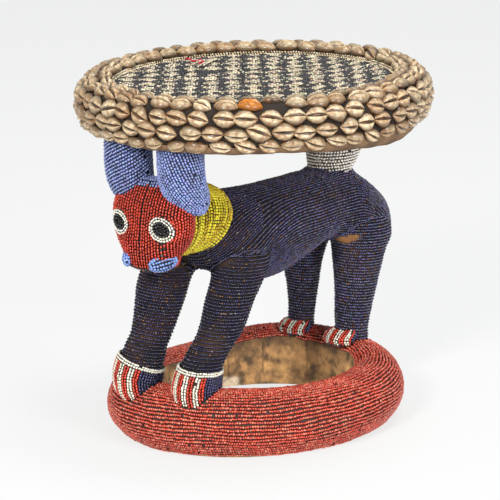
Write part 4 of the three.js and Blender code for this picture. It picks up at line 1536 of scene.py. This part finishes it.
def makeThread(look):
    # loose red thread at the tear: round strands carried along smooth lines over the beads
    parts = []
    around = fullTurn(look["sides"])
    for strand in look["strands"]:
        line = panelPoint(*smoothRows(strand, look["samples"]).T)
        ahead = unit(np.gradient(line, axis=0))
        side = unit(np.cross(ahead, [0.0, 0.0, 1.0]))
        lift = np.cross(side, ahead)
        circle = (side[:, None] * np.cos(around)[None, :, None]
                  + lift[:, None] * np.sin(around)[None, :, None])
        parts.append(closedTube(line[:, None] + look["radius"] * circle))
    makePiece("redThread", *joined(parts), finishes["thread"], [], "check_beads")


makeThread(threadLook)

bandLook = {
    "line": [[146, 306.6], [152, 304.6], [160, 304.8], [164.5, 307.5], [166.5, 311], [163, 310],
             [152, 306.8]],
    "hangs": (0, 0.8, 1.0, 0.5, 0, 0, 0),  # how much of the hang each point of the line takes
    "hang": 1.5, "sag": 7.5, "sagTurn": 4.0, "sagSpread": 27.0,
    "folds": [(0.4, 11), (0.3, 37)], "sides": 360,
}


def makeBand(look):
    # cloth rolled under the seat's edge, hanging lower at one side, with shallow folds
    line = np.array(look["line"])
    turn = fullTurn(look["sides"])
    away = (np.degrees(turn) - look["sagTurn"] + 180) % 360 - 180
    hang = look["hang"] + look["sag"] * np.exp(-(away / look["sagSpread"]) ** 2)
    for height, turns in look["folds"]:
        hang = hang + height * np.sin(turns * turn)
    z = line[None, :, 1] - hang[:, None] * np.array(look["hangs"])[None]
    points = roundPoint(line[None, :, 0], z, turn[:, None]).reshape(-1, 3)
    makePiece("edgeCloth", *closedLoop(points, look["sides"]), finishes["brownCloth"],
              ["seat_edge_cloth_band"], "brown_cloth")


makeBand(bandLook)

shellLook = {
    "length": 22.4, "gap": -0.6, "width": (14.4, 16.6, 17.8, 17.2, 15.2), "height": 7.6, "sunk": 0.4,
    "rows": [5.2, 17.6, 31.4, 44.6, 57.8], "proud": 2.5,  # places along the rim, and the stand over it
    "samples": 400,
    "uneven": 0.1, "yaw": 0.15, "lean": 0.12, "roll": 0.16, "stray": 0.6, "sizeSpread": 0.06,
    "sizes": (0.85, 1.1), "bend": 0.03, "bendSpread": 0.05, "bendTurns": 6.0,
    # the near-black after cream and tan is the colour of the painted shade in the slit, on the flanks and
    # round the foot
    "cream": (0.82, 0.67, 0.43), "tan": (0.36, 0.17, 0.05), "paintedShadeColour": (0.012, 0.005, 0.003),
    "warm": 0.5, "upper": 0.35, "filled": (0.96, 1.0), "slitHalf": 0.2, "shade": 0.06,
    "oddRow": 3, "oddTurn": -50.0, "orange": (0.78, 0.26, 0.03), "orangeDark": 0.75, "lost": (3.8, 11.0),
}
shellSection = np.array([  # across, up, painted shade
    [-1.0, 0.12, 0.97], [-0.84, 0.62, 0.68], [-0.28, 1.0, 0.0], [-0.15, 0.56, 1.0], [0.12, 0.54, 1.0],
    [0.25, 1.0, 0.05], [0.82, 0.64, 0.72], [1.0, 0.12, 0.98], [0.55, -0.12, 0.9], [-0.55, -0.12, 0.9]])
shellStations = np.array([  # along, width, height
    [-0.51, 0.08, 0.2], [-0.42, 0.47, 0.56], [-0.24, 0.87, 0.92], [0.0, 1.03, 1.0], [0.22, 0.92, 0.95],
    [0.41, 0.5, 0.58], [0.51, 0.1, 0.22]])
shellLid = np.array([[0, 1, 2, 9], [2, 3, 8, 9], [3, 4, 5, 8], [5, 6, 7, 8]])


def shellPoints(centre, out, turn, width, look):
    # each shell's own axes, turned a little about the rim's outward direction and rolled about its length,
    # carry its stations along, its section's width across and its section's height outwards
    count = len(turn)
    along = np.stack([-np.sin(turn), np.cos(turn), turn * 0], axis=1)
    outward = np.stack([out[0] * np.cos(turn), out[0] * np.sin(turn), np.full(count, out[1])], axis=1)
    side = np.cross(along, outward)
    yaw = (rng.normal(0, look["yaw"], count) + look["lean"])[:, None]
    roll = rng.normal(0, look["roll"], count)[:, None]
    alongTurned, sideTurned = spun(along, side, -yaw)
    outTurned, sideTurned = spun(outward, sideTurned, -roll)
    middle = np.stack([centre[0] * np.cos(turn), centre[0] * np.sin(turn), np.full(count, centre[1])],
                      axis=1)
    middle += side * rng.normal(0, look["stray"], (count, 1))
    size = rng.normal(1, look["sizeSpread"], (count, 3)).clip(*look["sizes"])[:, None, None]
    bend = rng.normal(0, look["bendSpread"], (count, 1, 1)) + look["bend"]
    station = shellStations[None, :, None]
    section = shellSection[None, None]
    isSlit = section[..., 2] > 0.9
    x = station[..., 0] * look["length"] * size[..., 0]
    across = station[..., 1] * section[..., 0] + bend * np.sin(station[..., 0] * look["bendTurns"]) * isSlit
    y = across * width / 2 * size[..., 1]
    z = station[..., 2] * section[..., 1] * look["height"] * size[..., 2] - look["sunk"]
    points = (middle[:, None, None] + alongTurned[:, None, None] * x[..., None]
              + sideTurned[:, None, None] * y[..., None] + outTurned[:, None, None] * z[..., None])
    return sloped(points)


def shellColours(isThere, isOrange, look):
    # cream turning tan towards the ends and on some upper sides, with painted shade darkening the flanks and
    # making the slit and the foot nearly black
    shape = (len(isThere), 1, 1, 1)
    ends = np.clip(2.2 * np.abs(shellStations[None, :, None, :1]) - 0.45, 0, 1)
    acrossHere = shellSection[None, None, :, :1]
    warm = rng.random(shape)[isThere] * look["warm"]
    tan = np.clip(warm + 0.5 * ends + np.clip(acrossHere, 0, 1) * look["upper"] * warm, 0, 1)
    colour = np.array(look["cream"]) * (1 - tan) + np.array(look["tan"]) * tan
    filled = rng.uniform(*look["filled"], shape)[isThere]  # how dark the slit's painted shade is, shell by shell
    # painted shade: the section's darkness mixes in the near-black shade colour, fully in the slit and round
    # the foot
    dark = shellSection[None, None, :, 2:] * np.where(np.abs(acrossHere) < look["slitHalf"], filled, 1.0)
    colour = colour * (1 - dark) + np.array(look["paintedShadeColour"]) * dark
    # the orange shell takes part of the same painted shade
    orange = np.array(look["orange"]) * (1 - look["orangeDark"] * dark)
    colour = np.where(isOrange[isThere][:, None, None, None], orange, colour)
    return colour * rng.normal(1, look["shade"], (len(colour), 1, 1, 1))


def makeShells(look):
    # rows of shells round the rim; in one row there is a single orange shell, and one is lost beside it
    samples = look["samples"]
    rim, length = profileLine(seatShape["rim"], samples, 2)
    normal = profileNormals(rim)
    stations = len(shellStations)
    sides = len(shellSection)
    for row, distance in enumerate(look["rows"]):
        i = int(np.clip(distance / length * (samples - 1), 0, samples - 1))
        count = int(round(2 * np.pi * (rim[i][0] + look["proud"]) / (look["length"] + look["gap"])))
        uneven = rng.uniform(-look["uneven"], look["uneven"], count)
        turn = 2 * np.pi * (np.arange(count) + 0.5 * (row % 2) + uneven) / count
        beside = (np.degrees(turn) - look["oddTurn"]) % 360
        fromOdd = np.minimum(beside, 360 - beside)
        isOrange = (row == look["oddRow"]) & (fromOdd == fromOdd.min())
        first, last = look["lost"]
        isThere = ~((row == look["oddRow"]) & (beside > first) & (beside < last))
        points = shellPoints(rim[i], normal[i], turn, look["width"][row], look)[isThere]
        colour = shellColours(isThere, isOrange, look)
        start = np.arange(len(points))[:, None, None] * stations * sides
        farLid = (stations - 1) * sides + shellLid
        shell = np.concatenate([gridFaces(stations, sides), shellLid[:, ::-1], farLid])
        points = points.reshape(-1, 3)
        faces = (start + shell).reshape(-1, 4)
        number = str(row + 1)
        makePiece("cowrieRow" + number, points, facingOut(points, faces), finishes["shell"],
                  ["cowrie_row_" + number], "cowrie_shell", colours=colour.reshape(-1, 3).clip(0.002, 1))


makeShells(shellLook)

rimClothLook = {"samples": 40, "over": 0.1, "under": 1.0, "sides": 180}


def makeRimCloth(look):
    # dark cloth between the shells: the rim's profile, a little out and a little in, carried round
    rim, _ = profileLine(seatShape["rim"], look["samples"], 2)
    normal = profileNormals(rim)
    loop = np.vstack([rim + normal * look["over"], (rim - normal * look["under"])[::-1]])
    makePiece("rimCloth", *turned(loop, look["sides"], roundPoint), finishes["rimCloth"], [], "brown_cloth")


makeRimCloth(rimClothLook)
print("seat ready")
